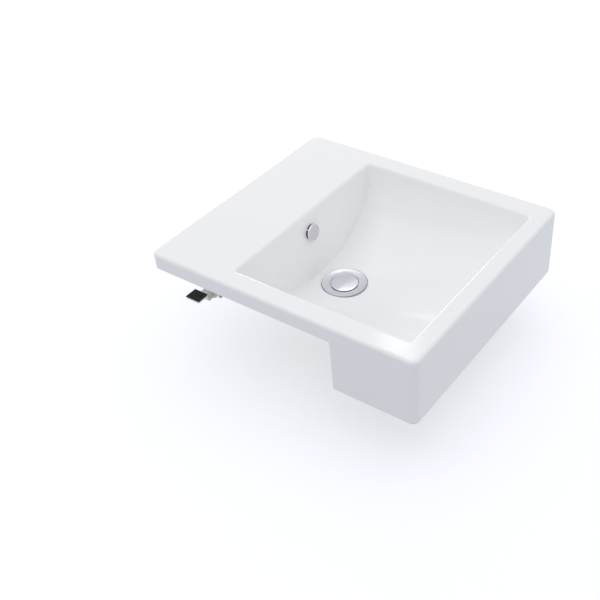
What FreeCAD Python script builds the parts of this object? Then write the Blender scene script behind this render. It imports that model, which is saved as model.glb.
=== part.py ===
import FreeCAD, Part
import math
import os

os.makedirs("parts", exist_ok=True)

# Semi recessed wash basin with its push-to-open waste, overflow cap and clamps.
# All lengths are in millimetres. The basin is let into a flat support: its rim bears on it
# and its apron stands in front of the support's edge.
# Origin: on the centre line, where the support's top meets its front edge.
# +X is to the right of a person standing in front, +Y is towards the wall, +Z is up.

# ---------------------------------------------------------------- outside of the casting
WIDTH = 400.0               # overall width
RIM_BACK = 319.0            # rim, from the support's front edge back to the wall
RIM_HEIGHT = 25.0           # rim above the support
APRON_DEPTH = 133.0         # apron, from the support's edge to the front face
APRON_DROP = 90.0           # apron below the support's top
CORNER_R = 12.0             # upright outer corners
TOP_EDGE_R = 5.0            # outer edge of the top
APRON_EDGE_R = 9.0          # edges round the bottom of the apron
STEP_R = 4.0                # inside corner between rim and apron
SKIN = 11.0                 # thickness of the cast walls
SEAT_WIDTH = 34.0           # strip under the rim that bears on the support
VENT_R = 10.0               # casting holes in the back of the hollow apron
VENT_INSET = 35.0           # vent centre, in from the side
VENT_DROP = 62.0            # vent centre, below the support's top
RIB_X = 66.0                # ribs under the deck, from the centre line
RIB_T = 9.0                 # thickness of a rib
RIB_DROP = 9.0              # depth of a rib below the deck's skin

# ---------------------------------------------------------------- bowl
FRONT_RIM = 28.0            # rim in front of the bowl
SIDE_RIM = 28.0             # from the side to the widest line of the bowl's dish
DECK_DEPTH = 134.0          # flat deck behind the bowl
DISH_CROWN = 40.5           # the dish's widest line lies this far above the top face
DISH_POWER = 2.25           # 2 is an ellipse, more is squarer
BOWL_DEPTH = 109.5          # top face to the floor at the drain
FLOOR_RISE = 34.5           # how much higher the floor is at the front
FLOOR_POWER = 1.4           # how gently the floor leaves its level part
LEVEL_FRONT = 30.0          # level floor in front of the drain's centre
FRONT_SLOPE = 0.20          # lean of the front wall, run over drop
REAR_SLOPE = 0.13           # lean of the rear wall, run over drop
BOWL_FILLET = 10.0          # round between the walls and the floor
LIP_R = 4.0                 # round over the bowl's inner edge
DRAIN_INSET = 63.0          # drain's centre, in front of the bowl's rear edge

# ---------------------------------------------------------------- waste hole and overflow duct
HOLE_GAP = 2.045            # waste hole round the threaded tail
NECK_GAP = 1.2              # mouth of the hole round the neck
NECK_HOLE_DEPTH = 8.0
CHAMBER_WIDTH = 8.0         # ring chamber round the hole, that the overflow runs into
CHAMBER_DROP = 18.0         # top of the chamber, below the flange seat
CHAMBER_HEIGHT = 14.0
CHAMBER_FLOOR = 6.5         # boss below the chamber
BOSS_WALL = 9.0             # boss round the chamber
DUCT_HALF_WIDTH = 15.0      # inside of the overflow duct
DUCT_GAP = 13.0             # inside of the duct, front to back
DUCT_SKIN = 9.0             # wall of the duct
OVERFLOW_DROP = 33.0        # overflow hole's centre, below the top face
OVERFLOW_HOLE_R = 10.0

# ---------------------------------------------------------------- waste fitting
THREAD_R = 20.955           # G 1 1/4 pipe thread, outside
TAIL_WALL = 2.755
TAIL_END = 33.5             # tail below the back nut
RELIEF_WIDTH = 3.0          # groove under the nut, where the trap's thread starts
RELIEF_DEPTH = 1.0
SEAL_STEP = 1.4             # smooth seal bore, wider than the tail's bore
SHELF = 3.2                 # shelf under the plug's edge
NECK_WALL = 1.5             # wall of the neck round the recess
FLANGE_WIDTH = 13.2         # chromed flange, from the recess to its outer edge
FLANGE_EDGE = 2.5           # height of the flange's outer edge above its seat
FLANGE_DISH = 1.5           # how far the flange dips towards the plug
FLANGE_BEVEL = 0.8
FLANGE_STEPS = 4            # straight facets across the dish of the flange
FLANGE_GAP = 0.5            # room round the flange in its seat
SLOT_WIDTH = 12.0           # overflow slots in the tail
SLOT_HEIGHT = 11.0
BRIDGE_HEIGHT = 8.0         # bridge across the tail that carries the cartridge
BRIDGE_BAR = 5.0
BORE_TAPER = 1.0            # height of a short taper between two bores or diameters
THREAD_GAP = 0.05           # radial clearance where one piece screws into another

GASKET_T = 1.8              # rubber ring in its recess under the flange
GASKET_INSET = 3.0          # recess, in from the flange's outer edge
GASKET_WIDTH = 6.0
GASKET_GAP = 0.5            # room round the gasket
SEAL_HEIGHT = 5.5           # rubber seal under the boss
SEAL_WIDTH = 12.0
SEAL_TAPER = 3.0            # the seal is this much narrower at its bottom
SLIP_T = 1.5                # slip washer between seal and nut
SLIP_WIDTH = 11.0
NUT_HEIGHT = 9.0
NUT_WALL = 8.0              # back nut, from its thread to a flat
NUT_CHAMFER = 1.5

# ---------------------------------------------------------------- plug and its cartridge
PLUG_GAP = 1.3              # gap between plug and flange
PLUG_EDGE_T = 2.7           # thickness of the cap at its edge
PLUG_EDGE_R = 0.65          # bevel of the top edge
PLUG_CROWN = 1.1            # rise of the domed top
DOME_STEPS = 3              # straight facets from the dome's edge to its middle
PLUG_SINK = 0.3             # top edge of the plug, below the flange's outer edge
PLUG_BOSS_R = 14.0          # boss that carries the lip seal
PLUG_BOSS_HEIGHT = 5.7
PLUG_LIP = 1.5              # lip that keeps the seal on its boss
PLUG_LIP_T = 1.0
PLUG_ROOM = 1.1             # left under the plug when it is pushed right down
LIP_SEAL_GAP = 0.3          # lip seal to the bore it runs in
LIP_SEAL_T = 1.0            # edge of the seal's lip
LIP_SEAL_LOW = 0.4          # rise of the lip's underside
LIP_SEAL_BACK = 0.8         # rise of the lip's back
CUP_WALL = 3.0              # body of the cup seal round its boss
OPEN_TRAVEL = 8.0           # plug rises this far when it is open
PRESS_TRAVEL = 2.0          # plug sinks this far when it is pushed
BORE_ROOM = 1.8             # left below a moving piece when it is pushed right down
PLUNGER_R = 4.95
GUIDE_GAP = 0.05            # radial clearance of the plunger in its guide
PLUNGER_FOOT = 1.35         # plunger below the cam track
STUD_R = 3.0                # stud that joins plunger and plug
STUD_TIP = 0.5              # left above the stud in its hole
STEM_R = 5.0                # stem that screws the cartridge into the bridge
STEM_END = 2.0              # stem below the bridge
HUB_WALL = 2.95             # hub of the bridge round the stem
SLEEVE_WALL = 2.5
SLEEVE_FLOOR = 2.0
COLLAR_STEP = 0.7           # the collar sits on a step this deep
COLLAR_WALL = 1.95
COLLAR_SKIRT = 2.0
COLLAR_LID = 3.0
WIRE_R = 0.75               # follower wire
WIRE_GAP = 0.2              # room above and below the wire
WIRE_ROOM = 0.1             # room behind the wire in its groove
GROOVE_DEPTH = 0.8          # groove for the wire in the sleeve
FOLLOWER_DROP = 7.0         # follower wire, below the sleeve's top
FOLLOWER_TURN = 28.0        # degrees that the follower turns while the plug opens
FOLLOWER_SPAN = 300.0       # degrees of wire round the sleeve
TRACK_DEPTH = 1.55          # cam track in the plunger
TRACK_GAP = 0.4             # room round the wire in the track
SPRING_LENGTH = 12.5
SPRING_WIRE_R = 0.45
SPRING_GAP = 0.55           # coils to the sleeve's bore
SPRING_TURNS = 5
SPRING_STEPS = 12           # straight lengths of wire in a turn

# ---------------------------------------------------------------- overflow cap
CAP_BRIM = 3.0              # cap beyond the hole
CAP_RING_T = 1.5
CAP_MOUTH = 2.5             # gap between ring and face, where the water goes in
CAP_FACE_T = 3.0
CAP_EDGE_R = 1.0            # bevel of the face
CAP_LEG_GAP = 0.3           # legs to the hole they spring into
CAP_LEG_WALL = 1.1
CAP_LEG_LENGTH = 9.0
CAP_RIBS = 4
CAP_RIB_T = 2.0             # ribs that carry the face
CAP_SLOT = 2.0              # slots that let the legs spring

# ---------------------------------------------------------------- clamps
CLAMP_INSET = 64.0          # studs, in from the side
CLAMP_BACK = 61.0           # studs, in from the rear edge
CLAMP_BOSS_R = 15.0
ANCHOR_R = 7.0              # hole for the anchor, in the underside
ANCHOR_ROOF = 9.0           # casting left above the hole
ANCHOR_ROOM = 1.0           # left above the anchor
FIXING_R = 3.0              # M6 stud
FIXING_TIP = 1.0            # end of the stud, below the anchor's top
FIXING_TAIL = 12.4          # stud below the wing nut
FIXING_GAP = 0.2            # clearance hole round the stud
SUPPORT_T = 40.0            # thickness of support that the clamps are set to
CLAMP_STRIP_T = 2.5
CLAMP_STRIP_WIDTH = 25.0
CLAMP_RISE = 9.5            # step in the clamp
CLAMP_HEEL = 14.0           # clamp inboard of its stud
CLAMP_FOOT = 20.0
CLAMP_FOOT_INSET = 8.0      # end of the foot, in from the side
CLAMP_BEND_R = 2.0
PAD_T = 2.0
WASHER_R = 9.0
WASHER_T = 1.6
WING_HUB_R = 6.0
WING_HEIGHT = 8.0
WING_REACH = 15.0
WING_R = 6.0
WING_T = 2.4

# ---------------------------------------------------------------- worked out from the above
HALF = WIDTH / 2
BOWL_HALF_WIDTH = HALF - SIDE_RIM
BOWL_FRONT_Y = -APRON_DEPTH + FRONT_RIM
BOWL_REAR_Y = RIM_BACK - DECK_DEPTH
DRAIN_Y = BOWL_REAR_Y - DRAIN_INSET
DISH_TOP = RIM_HEIGHT + DISH_CROWN
SEAT_Z = RIM_HEIGHT - BOWL_DEPTH            # the flange lies on this level
DECK_Z = RIM_HEIGHT - SKIN                  # underside of the deck's skin
LEVEL_Y = DRAIN_Y - LEVEL_FRONT             # the level floor starts here
RISE_RUN = LEVEL_Y - BOWL_FRONT_Y

# Radii round the drain, from the inside outwards.
TAIL_BORE_R = THREAD_R - TAIL_WALL
SEAL_BORE_R = TAIL_BORE_R + SEAL_STEP
RECESS_R = SEAL_BORE_R + SHELF
PLUG_R = RECESS_R - PLUG_GAP
NECK_R = RECESS_R + NECK_WALL
FLANGE_R = RECESS_R + FLANGE_WIDTH
GASKET_HOLE_R = FLANGE_R - GASKET_INSET
HOLE_R = THREAD_R + HOLE_GAP
CHAMBER_R = HOLE_R + CHAMBER_WIDTH
BOSS_R = CHAMBER_R + BOSS_WALL
SCREW_R = THREAD_R + THREAD_GAP             # bore of what sits on the tail
GUIDE_R = PLUNGER_R + GUIDE_GAP
SLEEVE_R = GUIDE_R + SLEEVE_WALL
STEP_RADIUS = SLEEVE_R - COLLAR_STEP
GROOVE_R = SLEEVE_R - GROOVE_DEPTH
TRACK_R = PLUNGER_R - TRACK_DEPTH
HUB_R = STEM_R + THREAD_GAP + HUB_WALL

# Heights round the drain, measured from the flange seat.
PLUG_TOP = FLANGE_EDGE - PLUG_SINK
PLUG_UNDER = PLUG_TOP - PLUG_EDGE_T
PLUG_BOSS_LOW = PLUG_UNDER - PLUG_BOSS_HEIGHT
PLUG_LIP_LOW = PLUG_BOSS_LOW - PLUG_LIP_T
RECESS_LOW = PLUG_UNDER - PRESS_TRAVEL - PLUG_ROOM
SEAL_BORE_LOW = PLUG_BOSS_LOW - PRESS_TRAVEL - BORE_ROOM
COLLAR_TOP = PLUG_LIP_LOW - PRESS_TRAVEL - BORE_ROOM
SLEEVE_TOP = COLLAR_TOP - COLLAR_LID
FOLLOWER_Z = SLEEVE_TOP - FOLLOWER_DROP
TRACK_TOP = FOLLOWER_Z + PRESS_TRAVEL + WIRE_R + TRACK_GAP
TRACK_LOW = FOLLOWER_Z - OPEN_TRAVEL - WIRE_R - TRACK_GAP
PLUNGER_LOW = TRACK_LOW - PLUNGER_FOOT
SPRING_LOW = PLUNGER_LOW - SPRING_LENGTH
BRIDGE_TOP = SPRING_LOW - SLEEVE_FLOOR
BRIDGE_LOW = BRIDGE_TOP - BRIDGE_HEIGHT
CHAMBER_TOP = -CHAMBER_DROP
CHAMBER_LOW = CHAMBER_TOP - CHAMBER_HEIGHT
BOSS_LOW = CHAMBER_LOW - CHAMBER_FLOOR
SEAL_LOW = BOSS_LOW - SEAL_HEIGHT
SLIP_LOW = SEAL_LOW - SLIP_T
NUT_LOW = SLIP_LOW - NUT_HEIGHT
TAIL_LOW = NUT_LOW - TAIL_END

# Heights under the support, and places of the clamps.
CLAMP_X = HALF - CLAMP_INSET
CLAMP_Y = RIM_BACK - CLAMP_BACK
FOOT_END_X = HALF - CLAMP_FOOT_INSET
FOOT_X = FOOT_END_X - CLAMP_FOOT
ANCHOR_TOP = RIM_HEIGHT - ANCHOR_ROOF
PAD_LOW = -SUPPORT_T - PAD_T
FOOT_LOW = PAD_LOW - CLAMP_STRIP_T
WEB_TOP = PAD_LOW - CLAMP_RISE
WEB_LOW = WEB_TOP - CLAMP_STRIP_T
WASHER_LOW = WEB_LOW - WASHER_T
WING_LOW = WASHER_LOW - WING_HEIGHT

# How the shapes are made.
PAST = 1.0                  # a cut runs this far past the surface that it opens
NEAR = 0.1                  # an edge is picked when it lies this close to its place
DISH_STATIONS = 5           # sections that the bowl is lofted through
DISH_STEPS = 6              # points on each half of a section
SOLVE_ROUNDS = 12           # rounds that find where the dish meets a leaning section

V = FreeCAD.Vector
ORIGIN = V(0, 0, 0)
X_AXIS = V(1, 0, 0)
Y_AXIS = V(0, 1, 0)
Z_AXIS = V(0, 0, 1)
DRAIN = V(0, DRAIN_Y, SEAT_Z)
SIXTH = math.pi / 3
WIRE_CORNERS = [(math.cos(SIXTH * i), math.sin(SIXTH * i)) for i in range(6)]   # section of a wire


# ---------------------------------------------------------------- helpers
def box(low, high):
    """Box between two corners."""
    low = V(*low)
    size = V(*high) - low
    return Part.makeBox(size.x, size.y, size.z, low)


def prism(points, along):
    """Closed outline of points, extruded along a vector."""
    return Part.Face(Part.makePolygon(points + points[:1])).extrude(along)


def prism_x(outline, half_width):
    """Closed outline of (y, z) points, extruded across the basin."""
    return prism([V(-half_width, y, z) for y, z in outline], X_AXIS * (2 * half_width))


def turned(outline, centre=DRAIN, start=0, turn=360):
    """Closed outline of (radius, height) points, turned about an upright axis."""
    points = [V(r, 0, z) for r, z in outline]
    solid = Part.Face(Part.makePolygon(points + points[:1])).revolve(ORIGIN, Z_AXIS, turn)
    solid.rotate(ORIGIN, Z_AXIS, start)
    solid.translate(centre)
    return solid


def ring(r_in, r_out, low, high, centre=DRAIN):
    """Flat ring, its heights measured from the centre point."""
    return turned([(r_in, low), (r_out, low), (r_out, high), (r_in, high)], centre)


def sector(r_in, r_out, low, high, first, last):
    """Part of a flat ring round the drain, between two angles in degrees from +X."""
    outline = [(r_in, low), (r_out, low), (r_out, high), (r_in, high)]
    return turned(outline, DRAIN, first, last - first)


def rod(radius, low, high, centre=DRAIN):
    """Upright cylinder, its heights measured from the centre point."""
    return Part.makeCylinder(radius, high - low, centre + V(0, 0, low))


def edges_in(shape, low, high):
    """Edges that lie wholly inside a box."""
    room = FreeCAD.BoundBox(*low, *high)
    return [e for e in shape.Edges if room.isInside(e.BoundBox)]


def both_sides(solid):
    """The solid and its mirror image across the centre plane."""
    return Part.makeCompound([solid, solid.mirror(ORIGIN, X_AXIS)])


def save(node, shape):
    """Write one node, and say what it holds."""
    shape.exportStep("parts/" + node + ".step")
    print(node, "solids", len(shape.Solids), "valid", shape.isValid(), "volume", round(shape.Volume))


# ---------------------------------------------------------------- bowl
def floor_drop(y):
    """Depth of the bowl's centre line below the top face."""
    run = max(0.0, LEVEL_Y - y) / RISE_RUN
    return BOWL_DEPTH - FLOOR_RISE * run ** FLOOR_POWER


def bowl_section(y_rim, lean, grow, top):
    """Section of the bowl in a leaning plane, closed by a straight line at a level."""
    half_width = BOWL_HALF_WIDTH + grow

    def height(z):
        return floor_drop(y_rim + lean * (RIM_HEIGHT - z)) + DISH_CROWN + grow

    edge = half_width * (1.0 - ((DISH_TOP - top) / height(top)) ** DISH_POWER) ** (1 / DISH_POWER)
    points = []
    for step in range(-DISH_STEPS, DISH_STEPS + 1):
        x = edge * math.sin(math.pi / 2 * step / DISH_STEPS)
        share = (1.0 - abs(x / half_width) ** DISH_POWER) ** (1 / DISH_POWER)
        z = top
        for _ in range(SOLVE_ROUNDS):
            z = DISH_TOP - height(z) * share
        points.append(V(x, y_rim + lean * (RIM_HEIGHT - z), z))
    curve = Part.BSplineCurve()
    curve.interpolate(points)
    return Part.Wire([curve.toShape(), Part.makeLine(points[-1], points[0])])


def bowl(grow, fillet, top):
    """Inside of the bowl, or with grow its outside, lofted from its front wall to its rear wall."""
    front = BOWL_FRONT_Y - grow
    rear = BOWL_REAR_Y + grow
    sections = []
    for i in range(DISH_STATIONS):
        share = i / (DISH_STATIONS - 1)
        lean = FRONT_SLOPE - share * (FRONT_SLOPE + REAR_SLOPE)
        sections.append(bowl_section(front + share * (rear - front), lean, grow, top))
    solid = Part.makeLoft(sections, True, False)
    deep = top - BOWL_DEPTH / 4
    creases = [e for e in solid.Edges if e.BoundBox.ZMin < deep and e.BoundBox.XLength > HALF]
    return solid.makeFillet(fillet, creases)


# ---------------------------------------------------------------- basin body
def outer_block():
    """Rim slab and apron as one stepped block with rounded edges."""
    block = prism_x([(-APRON_DEPTH, -APRON_DROP), (0, -APRON_DROP), (0, 0), (RIM_BACK, 0),
                     (RIM_BACK, RIM_HEIGHT), (-APRON_DEPTH, RIM_HEIGHT)], HALF)
    corners = []
    for x in (-HALF, HALF):
        for y in (-APRON_DEPTH, RIM_BACK):
            corners += edges_in(block, (x - NEAR, y - NEAR, -APRON_DROP - NEAR),
                                (x + NEAR, y + NEAR, RIM_HEIGHT + NEAR))
    block = block.makeFillet(CORNER_R, corners)
    top = edges_in(block, (-WIDTH, -WIDTH, RIM_HEIGHT - NEAR), (WIDTH, RIM_BACK + NEAR, RIM_HEIGHT + NEAR))
    block = block.makeFillet(TOP_EDGE_R, top)
    bottom = edges_in(block, (-WIDTH, -WIDTH, -APRON_DROP - NEAR), (WIDTH, NEAR, -APRON_DROP + NEAR))
    block = block.makeFillet(APRON_EDGE_R, bottom)
    inside = edges_in(block, (-WIDTH, -NEAR, -NEAR), (WIDTH, NEAR, NEAR))
    return block.makeFillet(STEP_R, inside)


def duct_outline(skin):
    """Side view of the overflow duct, from under the deck down to the waste boss."""
    front_top = BOWL_REAR_Y + SKIN
    front_low = BOWL_REAR_Y - REAR_SLOPE * BOWL_DEPTH + SKIN
    top = DECK_Z - SKIN / 2 + skin
    back = front_top + DUCT_GAP + skin
    chamber_top = SEAT_Z + CHAMBER_TOP + skin
    chamber_low = SEAT_Z + CHAMBER_LOW - min(skin, CHAMBER_FLOOR)
    lean = back - front_low
    return [(front_top - skin, top), (back, top), (back, chamber_low + lean), (front_low, chamber_low),
            (DRAIN_Y, chamber_low), (DRAIN_Y, chamber_top), (front_low - skin, chamber_top)]


def wall_axis(drop):
    """Point on the rear wall at a depth below the top, and the wall's normal into the bowl."""
    point = V(0, BOWL_REAR_Y - REAR_SLOPE * drop, RIM_HEIGHT - drop)
    normal = V(0, -1, REAR_SLOPE)
    normal.normalize()
    return point, normal


def basin_body():
    """Hollow casting: outer block and bowl shell, with boss, duct, ribs and clamp bosses."""
    inner = bowl(0, BOWL_FILLET, RIM_HEIGHT + 2 * LIP_R)
    outer = bowl(SKIN, BOWL_FILLET + SKIN, RIM_HEIGHT - SKIN / 2)
    pocket_back = RIM_BACK - SEAT_WIDTH

    hollow = box((-HALF + SKIN, -APRON_DEPTH + SKIN, -APRON_DROP + SKIN), (HALF - SKIN, -SKIN, DECK_Z))
    pocket = box((-HALF + SEAT_WIDTH, BOWL_REAR_Y - SKIN, -PAST), (HALF - SEAT_WIDTH, pocket_back, DECK_Z))
    body = outer_block().cut([hollow, pocket])

    added = [outer, rod(BOSS_R, BOSS_LOW, -SKIN / 2)]
    added.append(prism_x(duct_outline(DUCT_SKIN), DUCT_HALF_WIDTH + DUCT_SKIN))
    for side in (-1, 1):
        added.append(rod(CLAMP_BOSS_R, 0, DECK_Z + PAST, V(side * CLAMP_X, CLAMP_Y, 0)))
        x = side * RIB_X
        added.append(box((x - RIB_T / 2, BOWL_REAR_Y + SKIN / 2, DECK_Z - RIB_DROP),
                         (x + RIB_T / 2, pocket_back + PAST, DECK_Z + PAST)))
    body = body.fuse(added)

    point, normal = wall_axis(OVERFLOW_DROP)
    cuts = [inner, prism_x(duct_outline(0), DUCT_HALF_WIDTH)]
    cuts.append(Part.makeCylinder(OVERFLOW_HOLE_R, SKIN + DUCT_GAP, point + normal * PAST, normal * -1))
    cuts.append(rod(HOLE_R, BOSS_LOW - PAST, PAST))
    cuts.append(rod(NECK_R + NECK_GAP, -NECK_HOLE_DEPTH, PAST))
    cuts.append(rod(GASKET_HOLE_R, -GASKET_T, PAST))
    cuts.append(rod(FLANGE_R + FLANGE_GAP, 0, SKIN))
    cuts.append(rod(CHAMBER_R, CHAMBER_LOW, CHAMBER_TOP))
    for side in (-1, 1):
        cuts.append(rod(ANCHOR_R, -PAST, ANCHOR_TOP, V(side * CLAMP_X, CLAMP_Y, 0)))
        vent = V(side * (HALF - VENT_INSET), PAST, -VENT_DROP)
        cuts.append(Part.makeCylinder(VENT_R, SKIN + 2 * PAST, vent, Y_AXIS * -1))
    body = body.cut(cuts).removeSplitter()

    lip = edges_in(body, (-BOWL_HALF_WIDTH - PAST, BOWL_FRONT_Y - PAST, RIM_HEIGHT - NEAR),
                   (BOWL_HALF_WIDTH + PAST, BOWL_REAR_Y + PAST, RIM_HEIGHT + NEAR))
    return body.makeFillet(LIP_R, lip)


# ---------------------------------------------------------------- overflow cap
def overflow_cap():
    """Ring, face disc on ribs and split legs, made upright and then laid on the rear wall."""
    outer_r = OVERFLOW_HOLE_R + CAP_BRIM
    leg_r = OVERFLOW_HOLE_R - CAP_LEG_GAP
    bore_r = leg_r - CAP_LEG_WALL
    face_low = CAP_RING_T + CAP_MOUTH
    face_high = face_low + CAP_FACE_T

    cap = turned([(bore_r, -CAP_LEG_LENGTH), (leg_r, -CAP_LEG_LENGTH), (leg_r, 0), (outer_r, 0),
                  (outer_r, CAP_RING_T), (bore_r, CAP_RING_T)], ORIGIN)
    face = turned([(0, face_low), (outer_r, face_low), (outer_r, face_high - CAP_EDGE_R),
                   (outer_r - CAP_EDGE_R, face_high), (0, face_high)], ORIGIN)
    slots = []
    ribs = [face]
    for i in range(CAP_RIBS):
        slot = box((0, -CAP_SLOT / 2, -CAP_LEG_LENGTH - PAST), (outer_r, CAP_SLOT / 2, -CAP_RING_T))
        rib = box((bore_r, -CAP_RIB_T / 2, 0), (outer_r - CAP_EDGE_R, CAP_RIB_T / 2, face_low + CAP_EDGE_R))
        slots.append(slot.rotated(ORIGIN, Z_AXIS, 360 / CAP_RIBS * i))
        ribs.append(rib.rotated(ORIGIN, Z_AXIS, 360 / CAP_RIBS * (i + 0.5)))
    cap = cap.cut(slots).fuse(ribs).removeSplitter()
    point, normal = wall_axis(OVERFLOW_DROP)
    cap.Placement = FreeCAD.Placement(point, FreeCAD.Rotation(Z_AXIS, normal))
    return cap


# ---------------------------------------------------------------- waste fitting
def waste_body():
    """Flange, neck and threaded tail in one turning, with overflow slots and an inner bridge."""
    edge_r = FLANGE_R - FLANGE_BEVEL
    outline = [(NECK_R, 0), (FLANGE_R, 0), (FLANGE_R, FLANGE_EDGE - FLANGE_BEVEL), (edge_r, FLANGE_EDGE)]
    for i in range(1, FLANGE_STEPS + 1):
        share = i / FLANGE_STEPS
        outline.append((edge_r + share * (RECESS_R - edge_r),
                        FLANGE_EDGE - FLANGE_DISH * math.sin(math.pi / 2 * share)))
    outline += [(RECESS_R, RECESS_LOW), (SEAL_BORE_R, RECESS_LOW),
                (SEAL_BORE_R, SEAL_BORE_LOW), (TAIL_BORE_R, SEAL_BORE_LOW - BORE_TAPER),
                (TAIL_BORE_R, TAIL_LOW), (THREAD_R, TAIL_LOW), (THREAD_R, NUT_LOW - RELIEF_WIDTH),
                (THREAD_R - RELIEF_DEPTH, NUT_LOW - RELIEF_WIDTH), (THREAD_R - RELIEF_DEPTH, NUT_LOW),
                (THREAD_R, NUT_LOW),
                (THREAD_R, -NECK_HOLE_DEPTH - BORE_TAPER), (NECK_R, RECESS_LOW - NECK_WALL)]
    body = turned(outline)

    half = SLOT_HEIGHT / 2
    middle = (CHAMBER_TOP + CHAMBER_LOW) / 2
    reach = THREAD_R - TAIL_WALL / 2
    slots = []
    bars = [rod(HUB_R, BRIDGE_LOW, BRIDGE_TOP)]
    for turn in (0, 90):
        slot = box(DRAIN + V(-FLANGE_R, -SLOT_WIDTH / 2, middle - half),
                   DRAIN + V(FLANGE_R, SLOT_WIDTH / 2, middle + half))
        bar = box(DRAIN + V(-reach, -BRIDGE_BAR / 2, BRIDGE_LOW),
                  DRAIN + V(reach, BRIDGE_BAR / 2, BRIDGE_TOP))
        slots.append(slot.rotated(DRAIN, Z_AXIS, turn))
        bars.append(bar.rotated(DRAIN, Z_AXIS, turn))
    body = body.cut(slots).fuse(bars)
    return body.cut(rod(STEM_R + THREAD_GAP, BRIDGE_LOW - PAST, BRIDGE_TOP + PAST)).removeSplitter()


def back_nut():
    """Hexagon nut on the tail, with its lower corners chamfered."""
    flat_r = SCREW_R + NUT_WALL
    corner_r = flat_r / math.cos(math.radians(30))
    angles = [math.radians(60 * i) for i in range(6)]
    points = [DRAIN + V(corner_r * math.cos(a), corner_r * math.sin(a), NUT_LOW) for a in angles]
    hexagon = prism(points, Z_AXIS * NUT_HEIGHT)
    bevel = turned([(0, NUT_LOW), (flat_r, NUT_LOW), (corner_r + NUT_CHAMFER, NUT_LOW + 2 * NUT_CHAMFER),
                    (corner_r + NUT_CHAMFER, SLIP_LOW), (0, SLIP_LOW)])
    return hexagon.common(bevel).cut(rod(SCREW_R, NUT_LOW - PAST, SLIP_LOW + PAST))


def save_waste():
    gasket_r = GASKET_HOLE_R - GASKET_GAP
    seal_r = SCREW_R + SEAL_WIDTH
    save("waste_body", waste_body())
    save("waste_gasket", ring(gasket_r - GASKET_WIDTH, gasket_r, -GASKET_T, 0))
    save("lower_seal", turned([(SCREW_R, SEAL_LOW), (seal_r - SEAL_TAPER, SEAL_LOW),
                               (seal_r, BOSS_LOW), (SCREW_R, BOSS_LOW)]))
    save("slip_washer", ring(SCREW_R, SCREW_R + SLIP_WIDTH, SLIP_LOW, SEAL_LOW))
    save("back_nut", back_nut())


# ---------------------------------------------------------------- plug and its cartridge
def plug_cap():
    """Domed cap with the boss and lip that carry the seal, drilled for the plunger's stud."""
    hole_r = STUD_R + THREAD_GAP
    lip_r = PLUG_BOSS_R + PLUG_LIP
    dome_r = PLUG_R - PLUG_EDGE_R
    outline = [(0, PLUG_UNDER), (hole_r, PLUG_UNDER), (hole_r, PLUG_LIP_LOW), (lip_r, PLUG_LIP_LOW),
               (lip_r, PLUG_BOSS_LOW), (PLUG_BOSS_R, PLUG_BOSS_LOW), (PLUG_BOSS_R, PLUG_UNDER),
               (PLUG_R, PLUG_UNDER), (PLUG_R, PLUG_TOP - PLUG_EDGE_R)]
    for i in range(DOME_STEPS + 1):
        share = 1 - i / DOME_STEPS
        outline.append((dome_r * share, PLUG_TOP + PLUG_CROWN * (1 - share ** 2)))
    return turned(outline)


def plug_seal():
    """Cup seal round the boss; its lip runs in the smooth bore."""
    low = PLUG_BOSS_LOW
    body_r = PLUG_BOSS_R + CUP_WALL
    lip_r = SEAL_BORE_R - LIP_SEAL_GAP
    lip_low = low + LIP_SEAL_LOW
    lip_high = lip_low + LIP_SEAL_T
    return turned([(PLUG_BOSS_R, low), (body_r, low), (lip_r, lip_low), (lip_r, lip_high),
                   (body_r, lip_high + LIP_SEAL_BACK), (body_r, PLUG_UNDER), (PLUG_BOSS_R, PLUG_UNDER)])


def plunger():
    """Rod under the plug, with a stud on top and a heart-shaped cam track in its side."""
    body = rod(PLUNGER_R, PLUNGER_LOW, PLUG_LIP_LOW).fuse(rod(STUD_R, PLUG_LIP_LOW, PLUG_UNDER - STUD_TIP))
    wire = math.degrees((WIRE_R + TRACK_GAP) / TRACK_R)
    turn = FOLLOWER_TURN / OPEN_TRAVEL
    first = -turn * PRESS_TRAVEL - wire
    heart_first = FOLLOWER_TURN / 2 + 2 * wire
    heart_last = heart_first + FOLLOWER_TURN
    track = sector(TRACK_R, SLEEVE_R, TRACK_LOW, TRACK_TOP, first, heart_last + 2 * wire)
    heart_low = FOLLOWER_Z - OPEN_TRAVEL / 2
    heart_high = FOLLOWER_Z + PRESS_TRAVEL / 2
    heart = sector(TRACK_R - PAST, SLEEVE_R + PAST, heart_low, heart_high, heart_first, heart_last)
    quarter = FOLLOWER_TURN / 4
    notch = sector(TRACK_R - 2 * PAST, SLEEVE_R + 2 * PAST, heart_high - WIRE_R, heart_high + PAST,
                   heart_first + quarter, heart_last - quarter)
    return body.cut(track.cut(heart.cut(notch)))


def cartridge_sleeve():
    """Guide for the plunger, with a window for the follower and a stem for the bridge."""
    low = FOLLOWER_Z - WIRE_R - WIRE_GAP
    high = FOLLOWER_Z + WIRE_R + WIRE_GAP
    wire = math.degrees((WIRE_R + TRACK_GAP) / PLUNGER_R)
    turn = FOLLOWER_TURN / OPEN_TRAVEL
    outside = SLEEVE_R + PAST
    cuts = [rod(GUIDE_R, SPRING_LOW, SLEEVE_TOP + PAST),
            ring(GROOVE_R, outside, low, high),
            sector(PLUNGER_R - PAST, outside, low, high, -turn * PRESS_TRAVEL - wire, FOLLOWER_TURN + wire),
            ring(STEP_RADIUS, outside, SLEEVE_TOP - COLLAR_SKIRT, SLEEVE_TOP + PAST)]
    body = rod(SLEEVE_R, BRIDGE_TOP, SLEEVE_TOP).fuse(rod(STEM_R, BRIDGE_LOW - STEM_END, BRIDGE_TOP))
    return body.cut(cuts).removeSplitter()


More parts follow.
